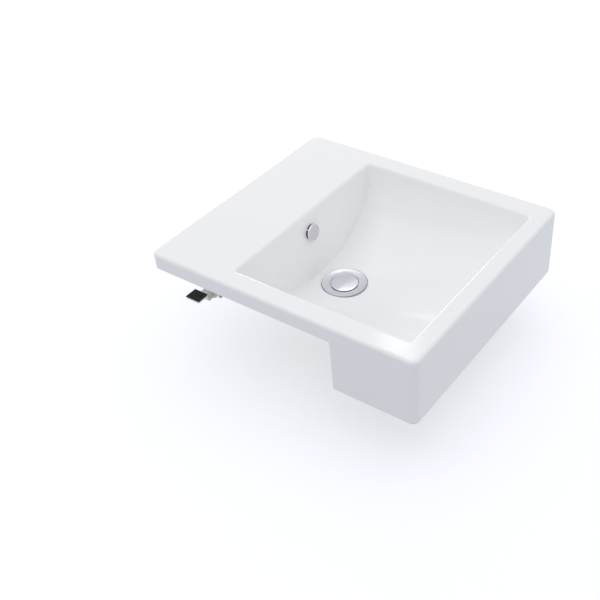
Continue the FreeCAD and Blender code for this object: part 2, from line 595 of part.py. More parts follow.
def cartridge_collar():
    """Collar over the mouth of the sleeve; the plunger runs through its lid."""
    bore = STEP_RADIUS + THREAD_GAP
    outer = bore + COLLAR_WALL
    return turned([(bore, SLEEVE_TOP - COLLAR_SKIRT), (outer, SLEEVE_TOP - COLLAR_SKIRT), (outer, COLLAR_TOP),
                   (GUIDE_R, COLLAR_TOP), (GUIDE_R, SLEEVE_TOP), (bore, SLEEVE_TOP)])


def follower_ring():
    """Open ring of wire round the sleeve, with one end bent into the cam track."""
    centre = DRAIN + V(0, 0, FOLLOWER_Z)
    middle_r = GROOVE_R + WIRE_ROOM + WIRE_R
    tip_r = TRACK_R + TRACK_GAP
    wire = turned([(middle_r + WIRE_R * c, WIRE_R * s) for c, s in WIRE_CORNERS], centre, 0, FOLLOWER_SPAN)
    section = [centre + V(tip_r, WIRE_R * c, WIRE_R * s) for c, s in WIRE_CORNERS]
    return wire.fuse(prism(section, X_AXIS * (middle_r + WIRE_R - tip_r))).removeSplitter()


def cartridge_spring():
    """Coil spring between the sleeve's floor and the plunger."""
    radius = GUIDE_R - SPRING_GAP - SPRING_WIRE_R
    height = SPRING_LENGTH - 2 * SPRING_WIRE_R
    steps = SPRING_TURNS * SPRING_STEPS
    sections = []
    for i in range(steps + 1):
        middle = V(radius, 0, height * i / steps)
        points = [middle + V(SPRING_WIRE_R * c, 0, SPRING_WIRE_R * s) for c, s in WIRE_CORNERS]
        section = Part.makePolygon(points + points[:1])
        section.rotate(ORIGIN, Z_AXIS, 360 / SPRING_STEPS * i)
        sections.append(section)
    coil = Part.makeLoft(sections, True, True)
    coil.translate(DRAIN + V(0, 0, SPRING_LOW + SPRING_WIRE_R))
    return coil


def save_plug():
    save("plug_cap", plug_cap())
    save("plug_seal", plug_seal())
    save("plunger", plunger())
    save("cartridge_sleeve", cartridge_sleeve())
    save("cartridge_collar", cartridge_collar())
    save("follower_ring", follower_ring())
    save("cartridge_spring", cartridge_spring())


# ---------------------------------------------------------------- clamps
def clamp_bracket(stud):
    """Stepped strip: a web on the stud and a foot that reaches under the support."""
    half = CLAMP_STRIP_WIDTH / 2
    inner_x = stud.x - CLAMP_HEEL
    riser_x = FOOT_X - CLAMP_STRIP_T
    outline = [(inner_x, WEB_LOW), (FOOT_X, WEB_LOW), (FOOT_X, FOOT_LOW), (FOOT_END_X, FOOT_LOW),
               (FOOT_END_X, PAD_LOW), (riser_x, PAD_LOW), (riser_x, WEB_TOP), (inner_x, WEB_TOP)]
    strip = prism([V(x, stud.y - half, z) for x, z in outline], Y_AXIS * CLAMP_STRIP_WIDTH)
    bends = []
    for x, z in ((FOOT_X, WEB_LOW), (riser_x, PAD_LOW)):
        bends += edges_in(strip, (x - NEAR, -WIDTH, z - NEAR), (x + NEAR, WIDTH, z + NEAR))
    strip = strip.makeFillet(CLAMP_BEND_R, bends)
    return strip.cut(rod(FIXING_R + FIXING_GAP, WEB_LOW - PAST, WEB_TOP + PAST, stud))


def wing_nut(stud):
    """Hub with two rounded wings that point away from the clamp."""
    nut = rod(WING_HUB_R, WING_LOW, WASHER_LOW, stud)
    leaf_x = WING_REACH - WING_R
    for side in (-1, 1):
        corner = stud + V(side * leaf_x, -WING_T / 2, WING_LOW)
        leaf = Part.makeCylinder(WING_R, WING_T, corner, Y_AXIS)
        root = prism([corner + V(0, 0, WING_R), corner - V(0, 0, WING_R),
                      stud + V(0, -WING_T / 2, WING_LOW), stud + V(0, -WING_T / 2, WING_LOW + WING_R)],
                     Y_AXIS * WING_T)
        nut = nut.fuse([leaf, root])
    bore = rod(FIXING_R + THREAD_GAP, WING_LOW - WING_HEIGHT, WASHER_LOW + PAST, stud)
    return nut.cut(bore).removeSplitter()


def save_clamps():
    stud = V(CLAMP_X, CLAMP_Y, 0)
    half = CLAMP_STRIP_WIDTH / 2
    anchor_top = ANCHOR_TOP - ANCHOR_ROOM
    anchor = ring(FIXING_R + THREAD_GAP, ANCHOR_R - THREAD_GAP, 0, anchor_top, stud)
    save("stud_anchors", both_sides(anchor))
    save("fixing_studs", both_sides(rod(FIXING_R, WING_LOW - FIXING_TAIL, anchor_top - FIXING_TIP, stud)))
    save("clamp_brackets", both_sides(clamp_bracket(stud)))
    pad = box((FOOT_X, CLAMP_Y - half, PAD_LOW), (FOOT_END_X, CLAMP_Y + half, -SUPPORT_T))
    save("clamp_pads", both_sides(pad))
    save("clamp_washers", both_sides(ring(FIXING_R + FIXING_GAP, WASHER_R, WASHER_LOW, WEB_LOW, stud)))
    save("wing_nuts", both_sides(wing_nut(stud)))


save("basin_body", basin_body())
save("overflow_cap", overflow_cap())
save_waste()
save_plug()
save_clamps()
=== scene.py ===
# %% [markdown]
# # A semi recessed wash basin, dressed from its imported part
# The basin is a casting of vitreous china under a clear glaze. Its rim bears on a flat top and its
# apron stands in front of it. A chromed waste with a push-to-open plug sits in the bowl's floor,
# and a small chromed cap covers the overflow in the rear wall. Below the rim are the back nut,
# the seals and two clamps.
#
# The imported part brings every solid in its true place. This script keeps those places, gives each
# piece a finer surface where the eye will rest, and gives each its real finish.
# All sizes below are written in millimetres and turned into metres by one factor.

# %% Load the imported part
import bpy
import bmesh
import math
from mathutils import Matrix, Vector
from mathutils.bvhtree import BVHTree


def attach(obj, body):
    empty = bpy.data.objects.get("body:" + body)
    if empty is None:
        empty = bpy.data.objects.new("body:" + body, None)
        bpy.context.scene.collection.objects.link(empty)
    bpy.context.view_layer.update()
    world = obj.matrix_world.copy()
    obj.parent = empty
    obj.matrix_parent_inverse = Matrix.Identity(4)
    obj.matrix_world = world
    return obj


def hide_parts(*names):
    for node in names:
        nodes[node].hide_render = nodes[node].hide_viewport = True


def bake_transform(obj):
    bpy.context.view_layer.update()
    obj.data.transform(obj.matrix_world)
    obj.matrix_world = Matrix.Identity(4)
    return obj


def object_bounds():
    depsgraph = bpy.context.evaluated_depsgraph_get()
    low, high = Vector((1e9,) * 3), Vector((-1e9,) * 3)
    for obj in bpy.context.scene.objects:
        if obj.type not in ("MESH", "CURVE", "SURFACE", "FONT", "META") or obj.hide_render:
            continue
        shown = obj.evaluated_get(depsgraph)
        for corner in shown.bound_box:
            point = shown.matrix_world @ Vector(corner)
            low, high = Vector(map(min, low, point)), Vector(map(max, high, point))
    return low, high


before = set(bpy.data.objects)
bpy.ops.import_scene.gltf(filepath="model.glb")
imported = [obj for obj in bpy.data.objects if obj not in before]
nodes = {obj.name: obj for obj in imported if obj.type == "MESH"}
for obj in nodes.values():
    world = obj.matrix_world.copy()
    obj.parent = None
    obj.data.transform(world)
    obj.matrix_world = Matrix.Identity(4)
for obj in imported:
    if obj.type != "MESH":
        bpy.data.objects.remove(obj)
cad_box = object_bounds()
MM = 0.001


def new_object(name, data):
    """Object of a name and its data, linked to the scene."""
    made = bpy.data.objects.new(name, data)
    bpy.context.scene.collection.objects.link(made)
    return made


# %% [markdown]
# ## The camera
# The photograph was taken from the front left, well above the rim. A camera was fitted to the
# basin's straight edges, which gives a place, three turns, a focal length and an optical centre.
# The optical centre lies a little off the middle of the picture, so the lens is shifted by that
# much and no more.

# %% Place the camera
FRAME_PX = 600.0
FOCAL_PX = 929.21
OPTICAL_CENTRE_PX = (358.29, 337.35)
CAMERA_PLACE = Vector((-908.91, -576.69, 803.27)) * MM
YAW, PITCH, ROLL = 0.92984, 0.71766, -0.05694
SENSOR_MM = 36.0

ahead = Vector((math.sin(YAW) * math.cos(PITCH), math.cos(YAW) * math.cos(PITCH), -math.sin(PITCH)))
level_right = Vector((math.cos(YAW), -math.sin(YAW), 0.0))
level_up = level_right.cross(ahead)
right = math.cos(ROLL) * level_right + math.sin(ROLL) * level_up
up = -math.sin(ROLL) * level_right + math.cos(ROLL) * level_up

lens = bpy.data.cameras.new("photo_lens")
lens.sensor_width = SENSOR_MM
lens.sensor_height = SENSOR_MM
lens.lens = FOCAL_PX / FRAME_PX * SENSOR_MM
lens.shift_x = (FRAME_PX / 2 - OPTICAL_CENTRE_PX[0]) / FRAME_PX
lens.shift_y = (OPTICAL_CENTRE_PX[1] - FRAME_PX / 2) / FRAME_PX
camera = new_object("photo_camera", lens)
camera.matrix_world = Matrix.Translation(CAMERA_PLACE) @ Matrix((right, up, -ahead)).transposed().to_4x4()
bpy.context.scene.camera = camera
print("camera lens %.2f mm, shift %.4f %.4f" % (lens.lens, lens.shift_x, lens.shift_y))

# %% [markdown]
# ## Small helpers for every material and every node tree
# Colours are written as the hex codes that a paint chart or a picture editor shows. Blender works
# in linear light, so one function turns them. A second function adds any node with its settings
# and its links, in a material or in Geometry Nodes alike. A third starts a material, and a fourth
# lets its colour drift between two near shades, because no real finish is one flat colour.

# %% Colour and node helpers
def linear(hex_code, alpha=1.0):
    """Linear colour of an sRGB hex code."""
    shares = [int(hex_code[i:i + 2], 16) / 255 for i in (1, 3, 5)]
    return tuple(c / 12.92 if c <= 0.04045 else ((c + 0.055) / 1.055) ** 2.4 for c in shares) + (alpha,)


def add_node(tree, kind, inputs=None, **settings):
    """Node of a kind, with settings by name and inputs by name or number, each a value or a socket."""
    made = tree.nodes.new(kind)
    for name, value in settings.items():
        setattr(made, name, value)
    for key, value in (inputs or {}).items():
        if isinstance(value, bpy.types.NodeSocket):
            tree.links.new(value, made.inputs[key])
        else:
            made.inputs[key].default_value = value
    return made


def new_material(name, **shader_inputs):
    """Empty material with one Principled shader, and the object coordinates in millimetres."""
    material = bpy.data.materials.new(name)
    material.use_nodes = True
    tree = material.node_tree
    tree.nodes.clear()
    shader = add_node(tree, "ShaderNodeBsdfPrincipled",
                      {key.replace("_", " "): value for key, value in shader_inputs.items()})
    add_node(tree, "ShaderNodeOutputMaterial", {"Surface": shader.outputs["BSDF"]})
    place = add_node(tree, "ShaderNodeTexCoord")
    in_mm = add_node(tree, "ShaderNodeMapping", {"Vector": place.outputs["Object"], "Scale": (1 / MM,) * 3})
    return material, tree, shader, in_mm.outputs["Vector"]


def mottled(tree, shader, place, patch_mm, detail, colour, second):
    """Base colour that drifts between two shades, in patches of a size in millimetres."""
    patches = add_node(tree, "ShaderNodeTexNoise", {"Vector": place, "Scale": 1 / patch_mm, "Detail": detail})
    shade = add_node(tree, "ShaderNodeMix", {"Factor": patches.outputs["Fac"], "A": linear(colour),
                                             "B": linear(second)}, data_type="RGBA")
    tree.links.new(shade.outputs["Result"], shader.inputs["Base Color"])


print("white in linear light:", [round(c, 3) for c in linear("#F2F3F4")])

# %% [markdown]
# ## Glazed vitreous china
# A basin is cast from white clay, dried, sprayed with a white glaze and fired once. The glaze
# melts into a glassy skin: the colour is an even, very slightly cool white, the reflections are
# clear but a little soft, and a faint waviness a few centimetres long bends them, because the glaze
# was sprayed on by hand. A second, much finer and weaker ripple is the orange peel of the spray.
# The bump heights are true sizes: 0.03 mm over 40 mm, and 0.002 mm over 2 mm.

# %% Glazed china
CHINA_WHITE, CHINA_SHADE, CHINA_PATCH_MM = "#FAFAFA", "#F7F8F9", 90.0
GLAZE_WAVE_MM, GLAZE_WAVE_HEIGHT_MM = 40.0, 0.03
GLAZE_PEEL_MM, GLAZE_PEEL_HEIGHT_MM = 2.0, 0.002

glazed_china, tree, shader, place = new_material("glazed_vitreous_china", Roughness=0.14, IOR=1.52)
mottled(tree, shader, place, CHINA_PATCH_MM, 2.0, CHINA_WHITE, CHINA_SHADE)
laid_on = {}
for size_mm, height_mm in ((GLAZE_WAVE_MM, GLAZE_WAVE_HEIGHT_MM), (GLAZE_PEEL_MM, GLAZE_PEEL_HEIGHT_MM)):
    ripple = add_node(tree, "ShaderNodeTexNoise", {"Vector": place, "Scale": 1 / size_mm, "Detail": 1.0})
    bump = add_node(tree, "ShaderNodeBump", {"Height": ripple.outputs["Fac"], "Strength": 1.0,
                                             "Distance": height_mm * MM, **laid_on})
    laid_on = {"Normal": bump.outputs["Normal"]}
tree.links.new(bump.outputs["Normal"], shader.inputs["Normal"])
print("material", glazed_china.name)

# %% [markdown]
# ## Bare china, where the glaze stops
# The glaze is wiped off wherever the casting stands in the kiln or bears its weight, and never
# reaches the hidden side of the bowl. There the fired clay is matt, a touch warmer, and has a fine
# sandy grain of about half a millimetre.

# %% Bare china
BISQUE, BISQUE_DARK, BISQUE_PATCH_MM = "#E9E6DE", "#DCD8CE", 35.0
BISQUE_GRAIN_MM, BISQUE_GRAIN_HEIGHT_MM = 0.6, 0.05

bare_china, tree, shader, place = new_material("bare_fired_china", Roughness=0.78, IOR=1.5)
mottled(tree, shader, place, BISQUE_PATCH_MM, 4.0, BISQUE, BISQUE_DARK)
grain = add_node(tree, "ShaderNodeTexNoise", {"Vector": place, "Scale": 1 / BISQUE_GRAIN_MM, "Detail": 3.0})
bump = add_node(tree, "ShaderNodeBump", {"Height": grain.outputs["Fac"], "Strength": 0.6,
                                         "Distance": BISQUE_GRAIN_HEIGHT_MM * MM})
tree.links.new(bump.outputs["Normal"], shader.inputs["Normal"])
print("material", bare_china.name)

# %% [markdown]
# ## The metals, rubbers and plastics of the fittings
# Each of these is one colour with a surface that the making left on it. So they share one recipe:
# a noise of the right grain size, stretched where the making stretched it, varies the roughness a
# little and raises a faint bump, and a second, larger noise moves the colour between two shades.
# The table gives, for each finish, two colours, metallic, two roughness values, the grain in mm,
# its scale along X, Y and Z, and the height of the bump in mm.
# - Polished chrome: almost a mirror, with faint wipe marks. Years of wiping leave it a little soft.
# - Painted shade on the chrome edge: the flange's outer edge is painted darker, as the shadow of its gap.
# - Satin chrome: the overflow cap is a small pressing, greyer and less smooth than the turning.
# - Raw brass: turned on a lathe, so its marks run round the axis and show as fine lines across it.
# - Stainless wire: drawn through a die, so it is smooth, with marks finer than those of turning.
# - Zinc plated steel: pale, slightly blue and yellow in patches, with a soft shine.
# - Rubber: almost black and matt, with the grain of its mould.
# - White polyethylene and grey nylon: moulded, satin.

# %% Fittings' materials
FINISHES = {
    "polished_chrome": ("#E4E4EA", "#DCDCE3", 1.0, 0.12, 0.22, 14.0, (1, 1, 1), 0.001),
    # The flange's edge finish is a darker chrome: a painted shadow of the gap round the flange.
    "painted_shade_chrome_edge": ("#A4A5AD", "#95969E", 1.0, 0.25, 0.40, 3.0, (1, 1, 1), 0.002),
    "satin_chrome_cap": ("#D9D7D9", "#C8C6C9", 1.0, 0.22, 0.36, 2.5, (1, 1, 1), 0.004),
    "turned_raw_brass": ("#C6A268", "#B08C55", 1.0, 0.24, 0.38, 0.9, (0.1, 0.1, 1), 0.01),
    "drawn_stainless_wire": ("#C2C3C6", "#AFB0B4", 1.0, 0.20, 0.32, 0.7, (1, 1, 0.2), 0.004),
    "zinc_plated_steel": ("#C6C9CC", "#BDBBAF", 1.0, 0.28, 0.42, 4.0, (1, 1, 1), 0.006),
    "moulded_black_rubber": ("#1C1C1D", "#262627", 0.0, 0.60, 0.78, 0.8, (1, 1, 1), 0.02),
    "moulded_white_polyethylene": ("#ECEAE4", "#E3E1DA", 0.0, 0.38, 0.50, 1.5, (1, 1, 1), 0.01),
    "moulded_grey_nylon": ("#8D8F92", "#808285", 0.0, 0.45, 0.58, 1.2, (1, 1, 1), 0.01),
}
FINISH_PATCH_MM = 9.0
finish = {}
for name, (colour, second, metallic, rough_low, rough_high, grain_mm, stretch, height_mm) in FINISHES.items():
    finish[name], tree, shader, place = new_material(name, Metallic=metallic)
    drawn = add_node(tree, "ShaderNodeMapping", {"Vector": place, "Scale": stretch})
    grain = add_node(tree, "ShaderNodeTexNoise", {"Vector": drawn.outputs["Vector"], "Scale": 1 / grain_mm,
                                                  "Detail": 3.0})
    mottled(tree, shader, place, FINISH_PATCH_MM, 2.0, colour, second)
    rough = add_node(tree, "ShaderNodeMapRange", {"Value": grain.outputs["Fac"], "From Min": 0.3,
                                                  "From Max": 0.7, "To Min": rough_low, "To Max": rough_high})
    bump = add_node(tree, "ShaderNodeBump", {"Height": grain.outputs["Fac"], "Strength": 0.5,
                                             "Distance": height_mm * MM})
    tree.links.new(rough.outputs["Result"], shader.inputs["Roughness"])
    tree.links.new(bump.outputs["Normal"], shader.inputs["Normal"])
print("fittings' materials:", ", ".join(finish))

# %% [markdown]
# ## Sizes of the bowl
# The bowl is a dish with a rounded, squarish cross-section, cut by a leaning front wall and a
# leaning rear wall. Its floor is level round the waste and rises gently to the front. The same
# sizes drive the solid, so they are repeated here, apart from one: the crease where a wall meets
# the dish has a radius of 4 mm here and 10 mm in the solid, because the real crease looks tight.

# %% Bowl sizes
RIM_BACK, RIM_Z = 319.0, 25.0
DRAIN_Y, SEAT_Z, SEAT_R, GASKET_HOLE_R = 122.0, -84.5, 36.5, 33.0
drain = Vector((0.0, DRAIN_Y, SEAT_Z))
BOWL_RULE_SIZES = {
    "Half width": 172.0, "Dish top": 65.5, "Dish depth": 150.0, "Dish power": 2.25,
    "Floor rise": 34.5, "Floor power": 1.4, "Level from": 92.0, "Rise run": 197.0,
    "Front edge": -105.0, "Front lean": 0.20, "Rear edge": 185.0, "Rear lean": 0.13,
    "Rim level": RIM_Z, "Crease radius": 4.0, "Lip radius": 4.0,
}
PURE_NUMBERS = ("Dish power", "Floor power", "Front lean", "Rear lean")
print("bowl sizes:", len(BOWL_RULE_SIZES))

# %% [markdown]
# ## A flat blank for the bowl
# The surface will be placed by a rule, point by point, so it starts as a flat sheet of points. A
# sheet of even squares would spend its faces on the calm floor and starve the lip. So the lines
# lie close together where the walls, the lip and the creases will be, and far apart between them.
# Round the waste the squares give way to rings, so that the hole's edge is a true circle.

# %% Blank sheet with rings round the waste hole
WINDOW = 40.0               # half of the square that the rings fill
RING_STEPS = 6
SHEET_SIDE, SIDE_WALL = 178, 148
SHEET_FRONT, FRONT_WALL, SHEET_BACK = -112, -74, 194
NEAR = 0.01                 # less than this apart, in millimetres, counts as the same place


def graded(*bands):
    """Positions along a line, from bands of (start, end, number of steps)."""
    places = [bands[0][0]]
    for start, end, steps in bands:
        places += [start + (end - start) * (i + 1) / steps for i in range(steps)]
    return places


columns = graded((-SHEET_SIDE, -SIDE_WALL, 40), (-SIDE_WALL, -WINDOW, 30), (-WINDOW, WINDOW, 24),
                 (WINDOW, SIDE_WALL, 30), (SIDE_WALL, SHEET_SIDE, 40))
rows = graded((SHEET_FRONT, FRONT_WALL, 50), (FRONT_WALL, DRAIN_Y - WINDOW, 40),
              (DRAIN_Y - WINDOW, DRAIN_Y + WINDOW, 24), (DRAIN_Y + WINDOW, SHEET_BACK, 44))
blank = bmesh.new()
sheet = {(x, y): blank.verts.new((x * MM, y * MM, 0.0)) for x in columns for y in rows
         if not (abs(x) < WINDOW - NEAR and abs(y - DRAIN_Y) < WINDOW - NEAR)}
for x0, x1 in zip(columns, columns[1:]):
    for y0, y1 in zip(rows, rows[1:]):
        corners = [sheet.get(key) for key in ((x0, y0), (x1, y0), (x1, y1), (x0, y1))]
        centre_x, centre_y = (x0 + x1) / 2, (y0 + y1) / 2
        if None not in corners and not (abs(centre_x) < WINDOW and abs(centre_y - DRAIN_Y) < WINDOW):
            blank.faces.new(corners)
square = [key for key in sheet if max(abs(key[0]), abs(key[1] - DRAIN_Y)) < WINDOW + NEAR]
square.sort(key=lambda key: math.atan2(key[1] - DRAIN_Y, key[0]))
ring_before = [sheet[key] for key in square]
for step in range(1, RING_STEPS + 1):
    share = step / RING_STEPS
    ring_now = []
    for x, y in square:
        angle = math.atan2(y - DRAIN_Y, x)
        edge = Vector((SEAT_R * math.cos(angle), DRAIN_Y + SEAT_R * math.sin(angle)))
        spot = Vector((x, y)).lerp(edge, share)
        ring_now.append(blank.verts.new((spot.x * MM, spot.y * MM, 0.0)))
    for i in range(len(square)):
        j = (i + 1) % len(square)
        blank.faces.new((ring_before[i], ring_before[j], ring_now[j], ring_now[i]))
    ring_before = ring_now
bmesh.ops.recalc_face_normals(blank, faces=blank.faces)
if sum(face.normal.z for face in blank.faces) < 0:
    bmesh.ops.reverse_faces(blank, faces=blank.faces)


def as_mesh(shape, name="shape"):
    """Mesh of a bmesh, which is freed."""
    mesh = bpy.data.meshes.new(name)
    shape.to_mesh(mesh)
    shape.free()
    return mesh


def as_bmesh(*meshes):
    """Bmesh that holds one mesh or several."""
    shape = bmesh.new()
    for mesh in meshes:
        shape.from_mesh(mesh)
    return shape


blank_mesh = as_mesh(blank, "bowl_blank")
print("blank sheet:", len(blank_mesh.vertices), "points")

# %% [markdown]
# ## The rule of the bowl, as Geometry Nodes
# The rule answers one question for any point in space: is it china, or air, and how far is the
# surface? Three distances are worked out, to the dish, to the front wall and to the rear wall.
# Where two of them meet, the crease is rounded by adding them as the sides of a right angle; the
# same trick, turned over, rounds the lip against the top face.
#
# Each point then walks up or down to the surface: up where it stands in china, down in air, each
# step half as long as the one before. After 22 steps it is within a hair of the surface.
# The table below is the rule, one Math node to a line: name, operation, terms.

# %% Geometry Nodes tree that lays a sheet on the bowl's rule
BOWL_RULE = [
    ("across", "ABSOLUTE", "x"), ("share x", "DIVIDE", "across", "Half width"),
    ("run", "SUBTRACT", "Level from", "y"), ("run ahead", "MAXIMUM", "run", 0.0),
    ("run share", "DIVIDE", "run ahead", "Rise run"), ("run power", "POWER", "run share", "Floor power"),
    ("rise", "MULTIPLY", "run power", "Floor rise"), ("depth", "SUBTRACT", "Dish depth", "rise"),
    ("below", "SUBTRACT", "Dish top", "z"), ("share z", "DIVIDE", "below", "depth"),
    ("power x", "POWER", "share x", "Dish power"), ("power z", "POWER", "share z", "Dish power"),
    ("powers", "ADD", "power x", "power z"), ("root", "DIVIDE", 1.0, "Dish power"),
    ("radial", "POWER", "powers", "root"), ("less one", "SUBTRACT", "Dish power", 1.0),
    ("minus", "SUBTRACT", 1.0, "Dish power"), ("bend x", "POWER", "share x", "less one"),
    ("slope x", "DIVIDE", "bend x", "Half width"), ("bend z", "POWER", "share z", "less one"),
    ("slope z", "DIVIDE", "bend z", "depth"), ("gentle", "SUBTRACT", "Floor power", 1.0),
    ("run bend", "POWER", "run share", "gentle"), ("gain", "MULTIPLY", "Floor rise", "Floor power"),
    ("rate", "DIVIDE", "gain", "Rise run"), ("floor slope", "MULTIPLY", "run bend", "rate"),
    ("per depth", "DIVIDE", "power z", "depth"), ("slope y", "MULTIPLY", "per depth", "floor slope"),
    ("xx", "MULTIPLY", "slope x", "slope x"), ("xx yy", "MULTIPLY_ADD", "slope y", "slope y", "xx"),
    ("all slopes", "MULTIPLY_ADD", "slope z", "slope z", "xx yy"), ("slope", "SQRT", "all slopes"),
    ("ease", "POWER", "radial", "minus"), ("steepness", "MULTIPLY", "slope", "ease"),
    ("over", "SUBTRACT", "radial", 1.0), ("dish", "DIVIDE", "over", "steepness"),
    ("deep", "SUBTRACT", "Rim level", "z"),
    ("front at", "MULTIPLY_ADD", "Front lean", "deep", "Front edge"),
    ("front gap", "SUBTRACT", "front at", "y"),
    ("front lean 2", "MULTIPLY_ADD", "Front lean", "Front lean", 1.0), ("front long", "SQRT", "front lean 2"),
    ("front", "DIVIDE", "front gap", "front long"), ("rear back", "SUBTRACT", "y", "Rear edge"),
    ("rear gap", "MULTIPLY_ADD", "Rear lean", "deep", "rear back"),
    ("rear lean 2", "MULTIPLY_ADD", "Rear lean", "Rear lean", 1.0), ("rear long", "SQRT", "rear lean 2"),
    ("rear", "DIVIDE", "rear gap", "rear long"),
    ("a", "ADD", "Crease radius", "dish"), ("a near", "MAXIMUM", "a", 0.0),
    ("aa", "MULTIPLY", "a near", "a near"),
    ("b", "ADD", "Crease radius", "front"), ("b near", "MAXIMUM", "b", 0.0),
    ("aa bb", "MULTIPLY_ADD", "b near", "b near", "aa"),
    ("c", "ADD", "Crease radius", "rear"), ("c near", "MAXIMUM", "c", 0.0),
    ("all near", "MULTIPLY_ADD", "c near", "c near", "aa bb"), ("round", "SQRT", "all near"),
    ("wall", "MAXIMUM", "dish", "front"), ("walls", "MAXIMUM", "wall", "rear"),
    ("inside", "MULTIPLY", "Crease radius", -1.0), ("calm", "MINIMUM", "walls", "inside"),
    ("bowl", "ADD", "calm", "round"),
    ("d", "SUBTRACT", "Lip radius", "bowl"), ("d near", "MAXIMUM", "d", 0.0),
    ("dd", "MULTIPLY", "d near", "d near"),
    ("e", "SUBTRACT", "Lip radius", "deep"), ("e near", "MAXIMUM", "e", 0.0),
    ("dd ee", "MULTIPLY_ADD", "e near", "e near", "dd"), ("lip round", "SQRT", "dd ee"),
    ("nearer", "MINIMUM", "bowl", "deep"), ("far", "MAXIMUM", "nearer", "Lip radius"),
    ("china", "SUBTRACT", "far", "lip round"), ("up or down", "SIGN", "china"),
    ("move", "MULTIPLY", "up or down", "step"),
]
WALK_STEPS, WALK_START_MM, FIRST_STEP_MM = 22, -33.0, 32.0


def new_tree(name, inputs):
    """Empty Geometry Nodes tree, and the node that gives its inputs, which are kinds by name."""
    tree = bpy.data.node_groups.new(name, "GeometryNodeTree")
    for label, kind in inputs.items():
        tree.interface.new_socket(label, in_out="INPUT", socket_type="NodeSocket" + kind)
    tree.interface.new_socket("Geometry", in_out="OUTPUT", socket_type="NodeSocketGeometry")
    return tree, add_node(tree, "NodeGroupInput")


def worked_out(tree, table, known):
    """Sockets by name, after one Math node for each line of a table of name, operation and terms."""
    for name, operation, *terms in table:
        inputs = {i: known.get(term, term) for i, term in enumerate(terms)}
        known[name] = add_node(tree, "ShaderNodeMath", inputs, operation=operation).outputs[0]
    return known


def end_tree(tree, given, geometry):
    """Real geometry with the finish on it as the tree's result, because instances don't leave Blender."""
    real = add_node(tree, "GeometryNodeRealizeInstances", {"Geometry": geometry})
    coat = add_node(tree, "GeometryNodeSetMaterial", {"Geometry": real.outputs[0],
                                                      "Material": given.outputs["Finish"]})
    add_node(tree, "NodeGroupOutput", {"Geometry": coat.outputs[0]})


rule, given = new_tree("lay_on_bowl_rule", {
    "Geometry": "Geometry", **dict.fromkeys(BOWL_RULE_SIZES, "Float"), "Finish": "Material"})
walk_out = add_node(rule, "GeometryNodeRepeatOutput")
walk_out.repeat_items.new("FLOAT", "Step")
walk_in = add_node(rule, "GeometryNodeRepeatInput")
walk_in.pair_with_output(walk_out)
walk_in.inputs["Iterations"].default_value = WALK_STEPS
middle = add_node(rule, "GeometryNodeSetPosition", {"Geometry": given.outputs["Geometry"],
                                                    "Offset": (0.0, 0.0, WALK_START_MM * MM)})
rule.links.new(middle.outputs["Geometry"], walk_in.inputs["Geometry"])
walk_in.inputs["Step"].default_value = FIRST_STEP_MM * MM
spot = add_node(rule, "ShaderNodeSeparateXYZ", {0: add_node(rule, "GeometryNodeInputPosition").outputs[0]})
known = {name: given.outputs[name] for name in BOWL_RULE_SIZES}
known.update(x=spot.outputs["X"], y=spot.outputs["Y"], z=spot.outputs["Z"], step=walk_in.outputs["Step"])
known = worked_out(rule, BOWL_RULE, known)
lift = add_node(rule, "ShaderNodeCombineXYZ", {"Z": known["move"]})
moved = add_node(rule, "GeometryNodeSetPosition", {"Geometry": walk_in.outputs["Geometry"],
                                                   "Offset": lift.outputs[0]})
halved = add_node(rule, "ShaderNodeMath", {0: walk_in.outputs["Step"], 1: 0.5}, operation="MULTIPLY")
rule.links.new(moved.outputs["Geometry"], walk_out.inputs["Geometry"])
rule.links.new(halved.outputs[0], walk_out.inputs["Step"])
end_tree(rule, given, walk_out.outputs["Geometry"])
print("bowl rule:", len(rule.nodes), "nodes")

# %% [markdown]
# ## Running a tree once, and keeping its result as a plain mesh
# Every Geometry Nodes tree here is used in the same way: its inputs are set by the sockets'
# identifiers, it is evaluated once, and the result becomes an ordinary mesh.

# %% Helper that runs a tree on a mesh
def plain_mesh(piece):
    """Plain mesh of an object with its modifiers at work; the object is removed."""
    depsgraph = bpy.context.evaluated_depsgraph_get()
    mesh = bpy.data.meshes.new_from_object(piece.evaluated_get(depsgraph), depsgraph=depsgraph)
    bpy.data.objects.remove(piece)
    return mesh


def baked(mesh, group, values):
    """Plain mesh that a Geometry Nodes tree makes of a mesh, with its inputs set by name."""
    piece = new_object("being_made", mesh)
    modifier = piece.modifiers.new(group.name, "NODES")
    modifier.node_group = group
    sockets = {s.name: s.identifier for s in group.interface.items_tree if s.in_out == "INPUT"}
    for name, value in values.items():
        modifier[sockets[name]] = value
    return plain_mesh(piece)


in_metres = {name: size if name in PURE_NUMBERS else size * MM for name, size in BOWL_RULE_SIZES.items()}
bowl_mesh = baked(blank_mesh, rule, {**in_metres, "Finish": glazed_china})
heights = [v.co.z / MM for v in bowl_mesh.vertices]
print("bowl sheet from %.2f to %.2f mm" % (min(heights), max(heights)))

# %% [markdown]
# ## The china body
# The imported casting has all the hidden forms: the hollow apron, the overflow duct, the boss round
# the waste and the sockets for the clamps. Its bowl is a coarser lofted surface. So a copy of the
# casting is merged into one skin, its bowl and its top face are taken off, and the finer sheet
# goes in their place. A search tree over the sheet finds which faces are the old bowl: those that
# lie within 3 mm of the sheet and face the same way.

# %% Copy the casting and take off its bowl
CAD_MERGE = 0.002           # how near two corners of the loose triangles count as one, in millimetres
TOP_BAND, BELOW_SEAT = 0.02, 0.5
SEAT_STEP_MIDDLE, SEAT_STEP_REACH = 1.3, 1.5
OLD_BOWL_REACH, SAME_WAY, TURNED_DOWN = 3.0, 0.5, -0.2


